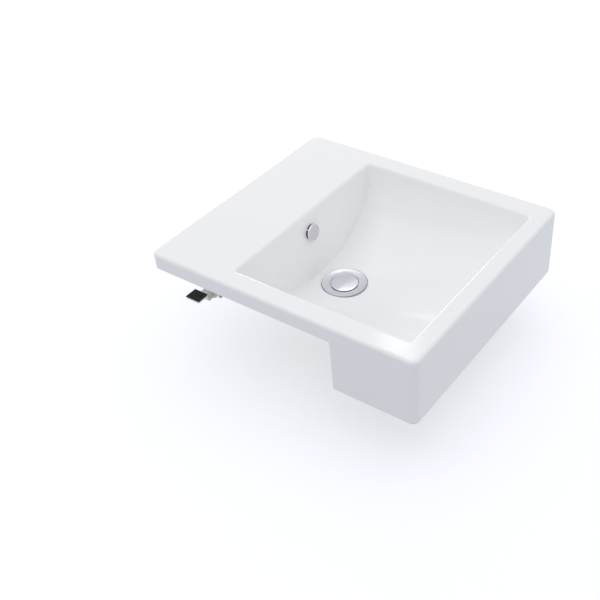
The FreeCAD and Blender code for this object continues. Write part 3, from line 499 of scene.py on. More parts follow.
def open_loops(mesh):
    """Loops of open edges, each with the lowest and highest corner of its box in millimetres.

    The edges wait in a dictionary, which keeps their order. With a set, some runs write the same
    triangles in another order.
    """
    left, found = dict.fromkeys(edge for edge in mesh.edges if len(edge.link_faces) == 1), []
    while left:
        loop, ends = [], [next(iter(left)).verts[0]]
        while ends:
            for edge in ends.pop().link_edges:
                if edge in left:
                    del left[edge]
                    loop.append(edge)
                    ends.extend(edge.verts)
        spots = [v.co / MM for edge in loop for v in edge.verts]
        low, high = (Vector([pick(s[i] for s in spots) for i in range(3)]) for pick in (min, max))
        found.append((loop, low, high))
    return found


china = as_bmesh(nodes["basin_body"].data)
bmesh.ops.remove_doubles(china, verts=china.verts, dist=CAD_MERGE * MM)
fine = as_bmesh(bowl_mesh)
sheet_tree = BVHTree.FromBMesh(fine)
fine.free()


def from_drain(spot):
    """Distance of a point from the waste's axis, in millimetres."""
    return math.hypot(spot.x / MM, spot.y / MM - DRAIN_Y)


def is_old_bowl(face):
    """True for a face of the casting's own bowl, of its flat top or of the flange's seat."""
    middle = face.calc_center_median()
    if min(v.co.z for v in face.verts) > (RIM_Z - TOP_BAND) * MM:
        return True
    on_seat = GASKET_HOLE_R - 0.05 < from_drain(middle) < SEAT_R + 0.3
    if on_seat and abs(middle.z / MM - SEAT_Z - SEAT_STEP_MIDDLE) < SEAT_STEP_REACH:
        return True
    if from_drain(middle) < SEAT_R or middle.z / MM < SEAT_Z - BELOW_SEAT or face.normal.z < TURNED_DOWN:
        return False
    _, normal, _, distance = sheet_tree.find_nearest(middle)
    return distance < OLD_BOWL_REACH * MM and face.normal.dot(normal) > SAME_WAY


old = [face for face in china.faces if is_old_bowl(face)]
bmesh.ops.delete(china, geom=old, context="FACES")
for loop, low, high in open_loops(china):
    spans = ["%.1f to %.1f" % pair for pair in zip(low, high)]
    print("open loop of %3d edges, in x, y and z:" % len(loop), ", ".join(spans))

# %% [markdown]
# ## Joining the sheet to the casting
# Three gaps are closed. The flat top between the rim's edge and the sheet is one flat face with a
# hole in it. At the waste, the sheet's round edge drops straight down to the flange's seat. At
# the overflow, the sheet is opened round the hole, and the ring between is filled flat, because
# the rear wall is flat there. The cap hides that ring. The drop is built edge by edge, because
# Blender's extrude of edges gives its faces in an order that changes from run to run. Each of its
# faces runs along the shared edge against the sheet's own, so both face the same way.

# %% Join the sheet
OVERFLOW_DROP = 33.0
REAR_EDGE, REAR_LEAN = BOWL_RULE_SIZES["Rear edge"], BOWL_RULE_SIZES["Rear lean"]
OVERFLOW_CENTRE = Vector((0.0, REAR_EDGE - REAR_LEAN * OVERFLOW_DROP, RIM_Z - OVERFLOW_DROP))
OVERFLOW_AXIS = Vector((0.0, -1.0, REAR_LEAN)).normalized()
OVERFLOW_OPENING_R, REAR_WALL_FROM, ALONG_AXIS = 10.7, 170, 0.99
NARROW_LOOP, REAR_LOOP_FROM, LOOP_NEAR = 30, 160, 0.3

china.from_mesh(bowl_mesh)
near_overflow = [
    face for face in china.faces
    if face.calc_center_median().y > REAR_WALL_FROM * MM and face.normal.dot(OVERFLOW_AXIS) > ALONG_AXIS
    and any((v.co / MM - OVERFLOW_CENTRE).length < OVERFLOW_OPENING_R for v in face.verts)]
bmesh.ops.delete(china, geom=near_overflow, context="FACES")
loops = open_loops(china)


def pick_loops(test):
    """Edges of the open loops whose box passes a test."""
    return [edge for loop, low, high in loops if test(low, high) for edge in loop]


flat_top = pick_loops(lambda low, high: low.z > RIM_Z - NEAR)
round_overflow = pick_loops(lambda low, high: high.x < NARROW_LOOP and low.y > REAR_LOOP_FROM)
sheet_hole = pick_loops(lambda low, high: abs(high.x - SEAT_R) < LOOP_NEAR)
seat_hole = pick_loops(lambda low, high: abs(high.x - GASKET_HOLE_R) < LOOP_NEAR)
bmesh.ops.triangle_fill(china, edges=flat_top, use_beauty=True, normal=(0, 0, 1))
bmesh.ops.triangle_fill(china, edges=round_overflow, use_beauty=True, normal=OVERFLOW_AXIS)
dropped = {}
for edge in sheet_hole:
    for vert in edge.verts:
        if vert not in dropped:
            dropped[vert] = china.verts.new((vert.co.x, vert.co.y, min(vert.co.z, SEAT_Z * MM)))
    corner = edge.link_loops[0]
    first, second = corner.link_loop_next.vert, corner.vert
    china.faces.new((first, second, dropped[second], dropped[first]))
seat_edge = list(dict.fromkeys(
    edge for vert in dropped.values() for edge in vert.link_edges if len(edge.link_faces) == 1))
bmesh.ops.triangle_fill(china, edges=seat_edge + seat_hole, use_beauty=True, normal=(0, 0, 1))
bmesh.ops.remove_doubles(china, verts=china.verts, dist=0.004 * MM)
bmesh.ops.dissolve_degenerate(china, edges=china.edges, dist=0.001 * MM)
bmesh.ops.recalc_face_normals(china, faces=china.faces)
still_open = sum(len(edge.link_faces) != 2 for edge in china.edges)
print("china:", len(china.faces), "faces,", still_open, "edges not shared by two faces")

# %% [markdown]
# ## Where the glaze ends
# The glaze covers what can be seen and wiped: the bowl, the top, the rim's sides and the outside of
# the apron. On every underside, behind the apron, inside it and on the edge that meets the wall the
# clay is bare. So a face is bare when it looks down, when it is the rear edge, or when the casting
# itself lies above the spot in front of it. The bowl and the top are glazed in any case.

# %% Glazed and bare faces, edges and shading
SHARP_ANGLE = math.radians(32)
STRAIGHT_UP = Vector((0, 0, 1))
ON_SHEET, TOP_FROM, UNDERSIDE, REAR_BAND, LOOK_OUT = 0.6, 24, -0.55, 0.5, 2


def softened(shape, sharp=SHARP_ANGLE):
    """The bmesh with smooth shading, except at open edges and at those sharper than an angle."""
    for face in shape.faces:
        face.smooth = True
    for edge in shape.edges:
        edge.smooth = len(edge.link_faces) == 2 and edge.calc_face_angle() < sharp
    return shape


skin_tree = BVHTree.FromBMesh(china)
for face in china.faces:
    middle, normal = face.calc_center_median(), face.normal
    near_bowl = sheet_tree.find_nearest(middle)[3] < ON_SHEET * MM and from_drain(middle) > GASKET_HOLE_R
    if near_bowl and normal.z > TURNED_DOWN or middle.z > TOP_FROM * MM:
        hidden = False
    elif normal.z < UNDERSIDE or middle.y > (RIM_BACK - REAR_BAND) * MM:
        hidden = True
    else:
        hidden = skin_tree.ray_cast(middle + normal * LOOK_OUT * MM, STRAIGHT_UP)[0] is not None
    face.material_index = int(hidden)
china_mesh = as_mesh(softened(china), "china_body")
for material in (glazed_china, bare_china):
    china_mesh.materials.append(material)


def placed(name, mesh, body="basin", stands_for=(), stretched=()):
    """Piece of the object: a mesh, the body it rides on and the nodes it stands for.

    A piece that is stretched is left on no body, with its place baked into its mesh; the second body
    and the points that it gives are not used.
    """
    piece = new_object(name, mesh)
    even = piece.modifiers.new("even_shading", "WEIGHTED_NORMAL")
    even.keep_sharp = True
    if stretched:
        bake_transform(piece)
    else:
        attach(piece, body)
    if stands_for:
        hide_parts(*stands_for)
    return piece


placed("china_body", china_mesh, stands_for=["basin_body"])
print("bare faces:", sum(p.material_index for p in china_mesh.polygons), "of", len(china_mesh.polygons))

# %% [markdown]
# ## Turned pieces
# Almost everything round the waste is turned on a lathe or moulded in a round mould, so it is one
# outline spun about an axis. Real corners are never knife sharp, and it is the small round on each
# that catches the light. So the outline's corners are eased first, and then it is spun. Doubles
# on the axis are merged before the normals are worked out.

# %% Ease an outline and spin it
NEARLY_STRAIGHT, MOST_OF_SIDE = math.radians(155), 0.45


def eased(outline, radius=0.3, steps=3):
    """Closed outline of (radius, height) in millimetres with its corners rounded."""
    points = []
    for before, corner, after in zip(outline[-1:] + outline[:-1], outline, outline[1:] + outline[:1]):
        corner = Vector(corner)
        back, on = Vector(before) - corner, Vector(after) - corner
        if corner.x < NEAR or back.angle(on) > NEARLY_STRAIGHT:
            points.append(corner)
            continue
        reach = min(radius, back.length * MOST_OF_SIDE, on.length * MOST_OF_SIDE)
        start, end = corner + back.normalized() * reach, corner + on.normalized() * reach
        for i in range(steps + 1):
            share = i / steps
            points.append(start.lerp(corner, share).lerp(corner.lerp(end, share), share))
    return points


def corner_arc(radius, height, bend, eighths):
    """Points on a round corner about a centre, at eighths of a half turn, in millimetres."""
    return [(radius + bend * math.cos(math.pi * i / 8), height + bend * math.sin(math.pi * i / 8))
            for i in eighths]


def shaded(shape, sharp=SHARP_ANGLE):
    """Mesh of a bmesh, merged, turned outwards and smooth except at sharp edges."""
    bmesh.ops.remove_doubles(shape, verts=shape.verts, dist=0.001 * MM)
    bmesh.ops.dissolve_degenerate(shape, edges=shape.edges, dist=0.0005 * MM)
    bmesh.ops.recalc_face_normals(shape, faces=shape.faces)
    return as_mesh(softened(shape, sharp))


def spun(outline, steps, centre=drain):
    """Bmesh of an outline spun about an upright axis through a centre in millimetres."""
    shape = bmesh.new()
    rings = []
    for i in range(steps + 1):
        angle = math.radians(360.0 * i / steps)
        across, along = math.cos(angle), math.sin(angle)
        rings.append([shape.verts.new(((centre.x + r * across) * MM, (centre.y + r * along) * MM,
                                       (centre.z + z) * MM)) for r, z in outline])
    for ring, following in zip(rings, rings[1:]):
        for k in range(len(outline)):
            j = (k + 1) % len(outline)
            shape.faces.new((ring[k], ring[j], following[j], following[k]))
    return shape


def painted(mesh, *names):
    """The mesh with one finish by name, or several, of which its faces take the first."""
    mesh.materials.clear()
    for name in names:
        mesh.materials.append(finish[name])
    return mesh


def joined(*meshes):
    """One mesh of several."""
    return as_mesh(as_bmesh(*meshes))


print("a square of 4 mm, eased:", len(eased([(1, 0), (5, 0), (5, 4), (1, 4)])), "points")

# %% [markdown]
# ## Screw threads, as Geometry Nodes
# A thread is a groove that climbs at an even rate as it goes round. The tree below takes a turned
# piece whose side has many points, and pushes each of them towards the axis by how deep the
# groove is there. It works out how far round the point is, adds its height divided by the pitch,
# and keeps the fraction: 0 and 1 are the crest, the middle is the root. The crest stays where the
# piece's side was, so the thread takes up no more room than the plain solid.
# The same tree cuts the tail's pipe thread, pitch 2.309 mm, and the studs' M6 thread, pitch 1 mm.

# %% Geometry Nodes tree that cuts a thread
THREAD_RULE = [
    ("xx", "MULTIPLY", "x", "x"), ("rr", "MULTIPLY_ADD", "y", "y", "xx"), ("radius", "SQRT", "rr"),
    ("angle", "ARCTAN2", "y", "x"), ("round", "DIVIDE", "angle", math.tau),
    ("climb", "DIVIDE", "z", "Pitch"), ("phase", "SUBTRACT", "climb", "round"),
    ("share", "FRACT", "phase"), ("middle", "SUBTRACT", "share", 0.5),
    ("off root", "ABSOLUTE", "middle"), ("flank", "MULTIPLY_ADD", "off root", -2.6, 1.15),
    ("no higher", "MINIMUM", "flank", 1.0), ("groove", "MAXIMUM", "no higher", 0.0),
    ("above", "SUBTRACT", "z", "Low"), ("below", "SUBTRACT", "High", "z"),
    ("to end", "MINIMUM", "above", "below"), ("end share", "DIVIDE", "to end", "Pitch"),
    ("fade in", "MAXIMUM", "end share", 0.0), ("fade", "MINIMUM", "fade in", 1.0),
    ("skin", "SUBTRACT", "Radius", 0.01 * MM), ("on side", "GREATER_THAN", "radius", "skin"),
    ("depth", "MULTIPLY", "groove", "Depth"), ("faded", "MULTIPLY", "depth", "fade"),
    ("cut", "MULTIPLY", "faded", "on side"), ("ratio", "DIVIDE", "cut", "radius"),
    ("inward", "MULTIPLY", "ratio", -1.0), ("move x", "MULTIPLY", "inward", "x"),
    ("move y", "MULTIPLY", "inward", "y"),
]
THREAD_SIZES = ("Radius", "Pitch", "Depth", "Low", "High")
thread_tree, given = new_tree("cut_thread", {
    "Geometry": "Geometry", "Axis at": "Vector", **dict.fromkeys(THREAD_SIZES, "Float"),
    "Finish": "Material"})
place = add_node(thread_tree, "GeometryNodeInputPosition")
from_axis = add_node(thread_tree, "ShaderNodeVectorMath", {0: place.outputs[0], 1: given.outputs["Axis at"]},
                     operation="SUBTRACT")
spot = add_node(thread_tree, "ShaderNodeSeparateXYZ", {0: from_axis.outputs[0]})
known = {name: given.outputs[name] for name in THREAD_SIZES}
known.update(x=spot.outputs["X"], y=spot.outputs["Y"], z=spot.outputs["Z"])
known = worked_out(thread_tree, THREAD_RULE, known)
push = add_node(thread_tree, "ShaderNodeCombineXYZ", {"X": known["move x"], "Y": known["move y"]})
cut = add_node(thread_tree, "GeometryNodeSetPosition", {"Geometry": given.outputs["Geometry"],
                                                        "Offset": push.outputs[0]})
end_tree(thread_tree, given, cut.outputs["Geometry"])


def side(radius, low, high, pitch):
    """Points up the side of a threaded piece, eight to a turn of the thread."""
    count = max(2, round((high - low) / pitch * 8))
    return [(radius, low + (high - low) * i / count) for i in range(count + 1)]


def threaded(outline, steps, centre, name, **sizes):
    """Turned piece with a thread cut in its side, of a finish by name, with sizes in millimetres."""
    in_metres = {size: value * MM for size, value in sizes.items()}
    return baked(shaded(spun(outline, steps, centre)), thread_tree,
                 {"Axis at": centre * MM, **in_metres, "Finish": finish[name]})


print("thread tree:", len(thread_tree.nodes), "nodes")

# %% [markdown]
# ## The waste fitting
# The waste is one brass turning, polished and chromed. Its flange lies on the bowl's floor: a
# rounded edge, painted a darker grey as a painted shadow of the gap round it, then a shallow dish
# that dips towards the plug. Below are the neck and the long threaded tail that takes the back
# nut, with a groove where the trap's thread starts. Four slots let the overflow's water in, and a
# small bridge across the bore carries the plug's cartridge. It is spun from one outline, the
# thread is cut by the tree, and the slots are cut by a boolean with two crossing blocks.

# %% Waste fitting
TAIL_R, TAIL_BORE_R, SEAL_BORE_R, CUP_R, NECK_R, FLANGE_R = 20.955, 18.2, 19.6, 22.8, 24.3, 36.0
FLANGE_EDGE, FLANGE_DIP, FLANGE_ROUND, DISH_POINTS = 2.5, 1.5, 0.8, 20
TAIL_LOW, NUT_LOW, TAIL_TOP, PIPE_PITCH, PIPE_DEPTH = -88.0, -54.5, -9.0, 2.309, 1.05
dish_start = FLANGE_R - FLANGE_ROUND
flange = [(NECK_R, 0.0), (FLANGE_R, 0.0), (FLANGE_R, FLANGE_EDGE - FLANGE_ROUND)]
flange += corner_arc(dish_start, FLANGE_EDGE - FLANGE_ROUND, FLANGE_ROUND, range(1, 5))
flange += [(dish_start + (CUP_R + 0.4 - dish_start) * i / DISH_POINTS,
            FLANGE_EDGE - FLANGE_DIP * math.sin(math.pi / 2 * i / DISH_POINTS))
           for i in range(1, DISH_POINTS)]
bore = [(CUP_R, FLANGE_EDGE - FLANGE_DIP), (CUP_R, -3.6), (SEAL_BORE_R, -3.6), (SEAL_BORE_R, -10.0),
        (TAIL_BORE_R, -11.0), (TAIL_BORE_R, TAIL_LOW), (TAIL_R - 0.8, TAIL_LOW)]
thread_low, thread_high = TAIL_LOW + 0.8, NUT_LOW - 3.0
outline = eased(flange + bore, 0.3) + side(TAIL_R, thread_low, thread_high, PIPE_PITCH)
outline += [(TAIL_R - 1.0, thread_high), (TAIL_R - 1.0, NUT_LOW)]
outline += side(TAIL_R, NUT_LOW, TAIL_TOP, PIPE_PITCH) + [(NECK_R, -5.1)]


def block(low, high, around=drain):
    """Box between two corners, in millimetres from a centre."""
    shape = bmesh.new()
    middle, size = (Vector(low) + Vector(high)) / 2 + around, Vector(high) - Vector(low)
    bmesh.ops.create_cube(shape, size=1.0, matrix=Matrix.LocRotScale(middle * MM, None, size * MM))
    return shape


def cut_by(mesh, *cutters):
    """The mesh with some blocks taken out of it by exact booleans."""
    piece = new_object("being_cut", mesh)
    tools = [new_object("cutter", shaded(cutter)) for cutter in cutters]
    for tool in tools:
        taken = piece.modifiers.new("taken_out", "BOOLEAN")
        taken.operation, taken.solver, taken.object = "DIFFERENCE", "EXACT", tool
    result = plain_mesh(piece)
    for tool in tools:
        bpy.data.objects.remove(tool)
    return result


def crossing_blocks(reach, half_width, low, high, around=drain):
    """Two blocks that cross at right angles over an upright axis."""
    return (block((-reach, -half_width, low), (reach, half_width, high), around),
            block((-half_width, -reach, low), (half_width, reach, high), around))


SLOT_REACH, SLOT_HALF_WIDTH, SLOT_LOW, SLOT_HIGH = 30, 6, -30.5, -19.5
HUB_BORE_R, HUB_R, BRIDGE_LOW, BRIDGE_HIGH = 5.06, 8, -54, -46
SPOKE_FROM, SPOKE_TO, SPOKE_HALF_WIDTH = 6.5, 19.4, 2.5
waste = threaded(outline, 112, drain, "polished_chrome", Radius=TAIL_R, Pitch=PIPE_PITCH, Depth=PIPE_DEPTH,
                 Low=TAIL_LOW, High=TAIL_TOP)
waste = cut_by(waste, *crossing_blocks(SLOT_REACH, SLOT_HALF_WIDTH, SLOT_LOW, SLOT_HIGH))
hub_outline = [(HUB_BORE_R, BRIDGE_LOW), (HUB_R, BRIDGE_LOW), (HUB_R, BRIDGE_HIGH),
               (HUB_BORE_R, BRIDGE_HIGH)]
bridge = [shaded(spun(eased(hub_outline), 48))]
for along_y in (False, True):
    for start, end in ((SPOKE_FROM, SPOKE_TO), (-SPOKE_TO, -SPOKE_FROM)):
        low, high = (start, -SPOKE_HALF_WIDTH), (end, SPOKE_HALF_WIDTH)
        if along_y:
            low, high = low[::-1], high[::-1]
        bridge.append(shaded(block((*low, BRIDGE_LOW), (*high, BRIDGE_HIGH))))
waste_mesh = painted(joined(waste, *bridge), "polished_chrome", "painted_shade_chrome_edge")
# Faces on the flange's outer rounded edge take the darker finish, a painted shadow of the gap round it.
for polygon in waste_mesh.polygons:
    polygon.material_index = int(from_drain(polygon.center) > FLANGE_R - FLANGE_ROUND)
placed("waste_fitting", waste_mesh, stands_for=["waste_body"])
print("waste fitting:", len(waste_mesh.polygons), "faces")

# %% [markdown]
# ## The plug and its seal
# The plug is a chromed brass cap with a low dome. A narrow dark gap shows round it. Under it a
# boss carries a rubber cup seal, whose thin lip runs in the smooth bore. Both move with the plug.

# %% Plug and cup seal
PLUG_R, PLUG_TOP, PLUG_CROWN, PLUG_ROUND, DOME_POINTS = 21.5, 2.2, 1.1, 0.65, 14
plug_outline = eased([(0, -0.5), (3.05, -0.5), (3.05, -7.2), (15.5, -7.2), (15.5, -6.2), (14, -6.2),
                      (14, -0.5), (PLUG_R, -0.5)], 0.25)
plug_outline += corner_arc(PLUG_R - PLUG_ROUND, PLUG_TOP - PLUG_ROUND, PLUG_ROUND, range(4))
plug_outline += [((PLUG_R - PLUG_ROUND) * (1 - i / DOME_POINTS),
                  PLUG_TOP + PLUG_CROWN * (1 - (1 - i / DOME_POINTS) ** 2)) for i in range(DOME_POINTS + 1)]
plug_mesh = painted(shaded(spun(plug_outline, 96)), "polished_chrome")
placed("plug_dome", plug_mesh, "plug", ["plug_cap"])

seal_outline = eased([(14, -6.2), (17, -6.2), (19.3, -5.8), (19.3, -4.8), (17, -4.0), (17, -0.5),
                      (14, -0.5)])
seal_mesh = painted(shaded(spun(seal_outline, 72)), "moulded_black_rubber")
placed("plug_cup_seal", seal_mesh, "plug", ["plug_seal"])
print("plug:", len(plug_mesh.polygons), "faces, its seal:", len(seal_mesh.polygons))

# %% [markdown]
# ## Rings under the bowl
# A rubber ring lies in its recess under the flange. Under the casting come a tapered rubber seal,
# a white slip washer that lets the nut turn without dragging the rubber, and the brass back nut.
# The round ones are spun. Each keeps the bore and the heights of the solid that it stands for.

# %% Gasket, lower seal, slip washer
RINGS = [
    ("flange_gasket", "waste_gasket", "black_rubber", "moulded_black_rubber", 0.5,
     [(26.5, -1.8), (32.5, -1.8), (32.5, 0), (26.5, 0)]),
    ("tapered_seal", "lower_seal", "black_rubber", "moulded_black_rubber", 0.8,
     [(21.005, -44), (30.005, -44), (33.005, -38.5), (21.005, -38.5)]),
    ("white_slip_washer", "slip_washer", "white_plastic", "moulded_white_polyethylene", 0.35,
     [(21.005, -45.5), (32.005, -45.5), (32.005, -44), (21.005, -44)]),
]
for name, node, slot, material, round_r, outline in RINGS:
    placed(name, painted(shaded(spun(eased(outline, round_r), 80)), material), stands_for=[node])
print("rings:", ", ".join(row[0] for row in RINGS))

# %% [markdown]
# ## What repeats round a ring
# The ribs under the overflow cap's face repeat round an axis. One tree makes them: points on a
# circle, a small block set on each and turned to face outwards.

# %% Geometry Nodes tree for bars round a ring
bars_tree, given = new_tree("bars_round_ring", {
    "Count": "Int", "Middle radius": "Float", "Length": "Float", "Width": "Float", "Height": "Float",
    "Level": "Float", "Turn": "Float", "Finish": "Material"})
ring = add_node(bars_tree, "GeometryNodeMeshCircle", {
    "Vertices": given.outputs["Count"], "Radius": given.outputs["Middle radius"]}, fill_type="NONE")
turned_up = add_node(bars_tree, "ShaderNodeCombineXYZ", {"Z": given.outputs["Turn"]})
raised = add_node(bars_tree, "ShaderNodeCombineXYZ", {"Z": given.outputs["Level"]})
set_round = add_node(bars_tree, "GeometryNodeTransform", {
    "Geometry": ring.outputs[0], "Translation": raised.outputs[0], "Rotation": turned_up.outputs[0]})
size = add_node(bars_tree, "ShaderNodeCombineXYZ", {"X": given.outputs["Length"], "Y": given.outputs["Width"],
                                                    "Z": given.outputs["Height"]})
bar = add_node(bars_tree, "GeometryNodeMeshCube", {"Size": size.outputs[0]})
place = add_node(bars_tree, "GeometryNodeInputPosition")
spot = add_node(bars_tree, "ShaderNodeSeparateXYZ", {0: place.outputs[0]})
around = add_node(bars_tree, "ShaderNodeMath", {0: spot.outputs["Y"], 1: spot.outputs["X"]},
                  operation="ARCTAN2")
facing = add_node(bars_tree, "ShaderNodeCombineXYZ", {"Z": around.outputs[0]})
bars = add_node(bars_tree, "GeometryNodeInstanceOnPoints", {"Points": set_round.outputs[0],
                                                            "Instance": bar.outputs["Mesh"],
                                                            "Rotation": facing.outputs[0]})
end_tree(bars_tree, given, bars.outputs[0])
print("bars tree:", len(bars_tree.nodes), "nodes")

# %% [markdown]
# ## The overflow cap
# The cap is a chromed pressing: a ring on the wall, a round face held off it by four ribs, and
# four springy legs that grip the hole. Water runs in through the dark slot between ring and face.
# It is built upright and then laid on the leaning rear wall by one matrix. The legs are split by
# cutting slots in a plain sleeve.

# %% Overflow cap
CAP_R, CAP_RING_T, CAP_FACE_LOW, CAP_FACE_HIGH, CAP_ROUND = 13.0, 1.5, 4.0, 7.0, 1.2
LEG_R, LEG_BORE_R, LEG_LOW = 9.7, 8.6, -9.0
SPLIT_REACH, SPLIT_HALF_WIDTH, SPLIT_LOW, SPLIT_HIGH = 20, 1, -12, -1.5
RIB_MIDDLE_R, RIB_LENGTH, RIB_WIDTH, RIB_HEIGHT, FACE_POINTS, CAP_CROWN = 10.3, 3.0, 2.0, 4.2, 10, 0.1
upright = Vector((0.0, 0.0, 0.0))
sleeve_outline = [(LEG_BORE_R, LEG_LOW), (LEG_R, LEG_LOW), (LEG_R, 0), (CAP_R, 0), (CAP_R, CAP_RING_T),
                  (LEG_BORE_R, CAP_RING_T)]
sleeve = cut_by(shaded(spun(eased(sleeve_outline, 0.35), 72, upright)),
                *crossing_blocks(SPLIT_REACH, SPLIT_HALF_WIDTH, SPLIT_LOW, SPLIT_HIGH, upright))
face_outline = [(0, CAP_FACE_LOW), (CAP_R - 0.4, CAP_FACE_LOW), (CAP_R, CAP_FACE_LOW + 0.4)]
face_outline += corner_arc(CAP_R - CAP_ROUND, CAP_FACE_HIGH - CAP_ROUND - CAP_CROWN, CAP_ROUND, range(4))
face_outline += [((CAP_R - CAP_ROUND) * (1 - i / FACE_POINTS),
                  CAP_FACE_HIGH - CAP_CROWN * (1 - i / FACE_POINTS) ** 2) for i in range(FACE_POINTS + 1)]
cap_face = shaded(spun(face_outline, 72, upright))
empty_mesh = bpy.data.meshes.new("nothing")
ribs = baked(empty_mesh, bars_tree, {
    "Count": 4, "Middle radius": RIB_MIDDLE_R * MM, "Length": RIB_LENGTH * MM, "Width": RIB_WIDTH * MM,
    "Height": RIB_HEIGHT * MM, "Level": RIB_HEIGHT / 2 * MM, "Turn": math.pi / 4,
    "Finish": finish["polished_chrome"]})
cap_mesh = painted(joined(sleeve, cap_face, ribs), "polished_chrome", "satin_chrome_cap")
for polygon in cap_mesh.polygons:
    on_face = polygon.center.z > (CAP_FACE_HIGH - 0.3) * MM and polygon.normal.z > 0.9
    polygon.material_index = int(on_face)
leaned = OVERFLOW_AXIS.to_track_quat("Z", "X").to_matrix().to_4x4()
cap_mesh.transform(Matrix.Translation(OVERFLOW_CENTRE * MM) @ leaned)
placed("overflow_cap_chrome", cap_mesh, stands_for=["overflow_cap"])
print("overflow cap:", len(cap_mesh.polygons), "faces")

# %% [markdown]
# ## Wire that follows a path, as Geometry Nodes
# The spring and the follower are bent wire. A path is a row of points joined by edges; the tree
# turns it into a curve, runs a small circle along it and closes both ends.

# %% Geometry Nodes tree for wire on a path
wire_tree, given = new_tree("wire_on_path", {
    "Geometry": "Geometry", "Wire radius": "Float", "Sides": "Int", "Finish": "Material"})
path = add_node(wire_tree, "GeometryNodeMeshToCurve", {"Mesh": given.outputs["Geometry"]})
section = add_node(wire_tree, "GeometryNodeCurvePrimitiveCircle", {"Resolution": given.outputs["Sides"],
                                                                   "Radius": given.outputs["Wire radius"]})
swept = add_node(wire_tree, "GeometryNodeCurveToMesh", {
    "Curve": path.outputs[0], "Profile Curve": section.outputs[0], "Fill Caps": True})
end_tree(wire_tree, given, swept.outputs[0])
WIRE_SIDES, INSIDE_SOLID = 12, 0.98     # a wire is a hair thinner than the solid, to stay inside it


def wire(points, radius):
    """Round wire of a radius along points, all in millimetres from the waste's axis on the seat."""
    line = bpy.data.meshes.new("path")
    edges = [(i, i + 1) for i in range(len(points) - 1)]
    line.from_pydata([(drain + Vector(p)) * MM for p in points], edges, [])
    made = baked(line, wire_tree, {"Wire radius": radius * INSIDE_SOLID * MM, "Sides": WIRE_SIDES,
                                   "Finish": finish["drawn_stainless_wire"]})
    return painted(shaded(as_bmesh(made), math.radians(50)), "drawn_stainless_wire")


print("wire tree:", len(wire_tree.nodes), "nodes")

# %% [markdown]
# ## The spring and the follower
# The spring pushes the plug up. The follower is a ring of wire round the sleeve with one end bent
# inwards into the heart-shaped track: as the plug moves, the ring turns a little and holds the
# plug open or lets it close. The spring is tied to no body, so it keeps its place and shape when
# the plug moves.

# %% Spring and follower
SPRING_R, SPRING_WIRE_R, SPRING_LOW, SPRING_HIGH, SPRING_TURNS = 4.0, 0.45, -43.55, -31.95, 5
SPRING_POINTS = 36
spring_path = []
for i in range(SPRING_TURNS * SPRING_POINTS + 1):
    angle, share = math.tau * i / SPRING_POINTS, i / (SPRING_TURNS * SPRING_POINTS)
    spring_path.append((SPRING_R * math.cos(angle), SPRING_R * math.sin(angle),
                        SPRING_LOW + (SPRING_HIGH - SPRING_LOW) * share))
spring_foot, spring_head = [(drain + Vector((0, 0, height))) * MM for height in (SPRING_LOW, SPRING_HIGH)]
placed("spring_wire", wire(spring_path, SPRING_WIRE_R),
       stands_for=["cartridge_spring"], stretched=("plug", spring_foot, spring_head))

FOLLOWER_R, FOLLOWER_WIRE_R, FOLLOWER_Z, FOLLOWER_TIP, FOLLOWER_SPAN = 7.55, 0.75, -21.0, 3.8, 300.0
BEND_R, FOLLOWER_STEPS = 1.2, 60
follower_path = [(FOLLOWER_TIP, 0, FOLLOWER_Z), (5.2, 0, FOLLOWER_Z)]
bend_start = FOLLOWER_R - BEND_R
follower_path += [(bend_start + BEND_R * math.sin(a), BEND_R - BEND_R * math.cos(a), FOLLOWER_Z)
                  for a in (math.pi * i / 8 for i in range(4))]
first = math.degrees(math.asin(BEND_R / FOLLOWER_R))
follower_path += [(FOLLOWER_R * math.cos(math.radians(a)), FOLLOWER_R * math.sin(math.radians(a)), FOLLOWER_Z)
                  for a in (first + (FOLLOWER_SPAN - first) * i / FOLLOWER_STEPS
                            for i in range(FOLLOWER_STEPS + 1))]
placed("follower_wire", wire(follower_path, FOLLOWER_WIRE_R), "follower",
       ["follower_ring"])
print("spring path:", len(spring_path), "points, follower path:", len(follower_path))

# %% [markdown]
# ## Pieces whose solid is right, made finer
# The hexagon nut, the cam rod, its sleeve and collar, the clamps and the wing nuts already have
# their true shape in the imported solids. What they lack are the small rounds on their edges. So a
# copy is merged, flat areas are made single faces again, and a narrow bevel runs along each sharp
# edge. The copy stands for the solid, which itself is left as it is.

# %% Refine the solids
def refined(node, width, angle=35.0):
    """Copy of a node's mesh, merged, flattened and bevelled by a width in millimetres."""
    shape = as_bmesh(nodes[node].data)
    bmesh.ops.remove_doubles(shape, verts=shape.verts, dist=CAD_MERGE * MM)
    bmesh.ops.dissolve_limit(shape, angle_limit=math.radians(0.5), verts=shape.verts, edges=shape.edges)
    sharp = [edge for edge in shape.edges if len(edge.link_faces) == 2
             and edge.calc_face_angle() > math.radians(angle)]
    bmesh.ops.bevel(shape, geom=sharp, offset=width * MM, segments=2, profile=0.5, affect="EDGES",
                    clamp_overlap=True)
    return shaded(shape, math.radians(40))


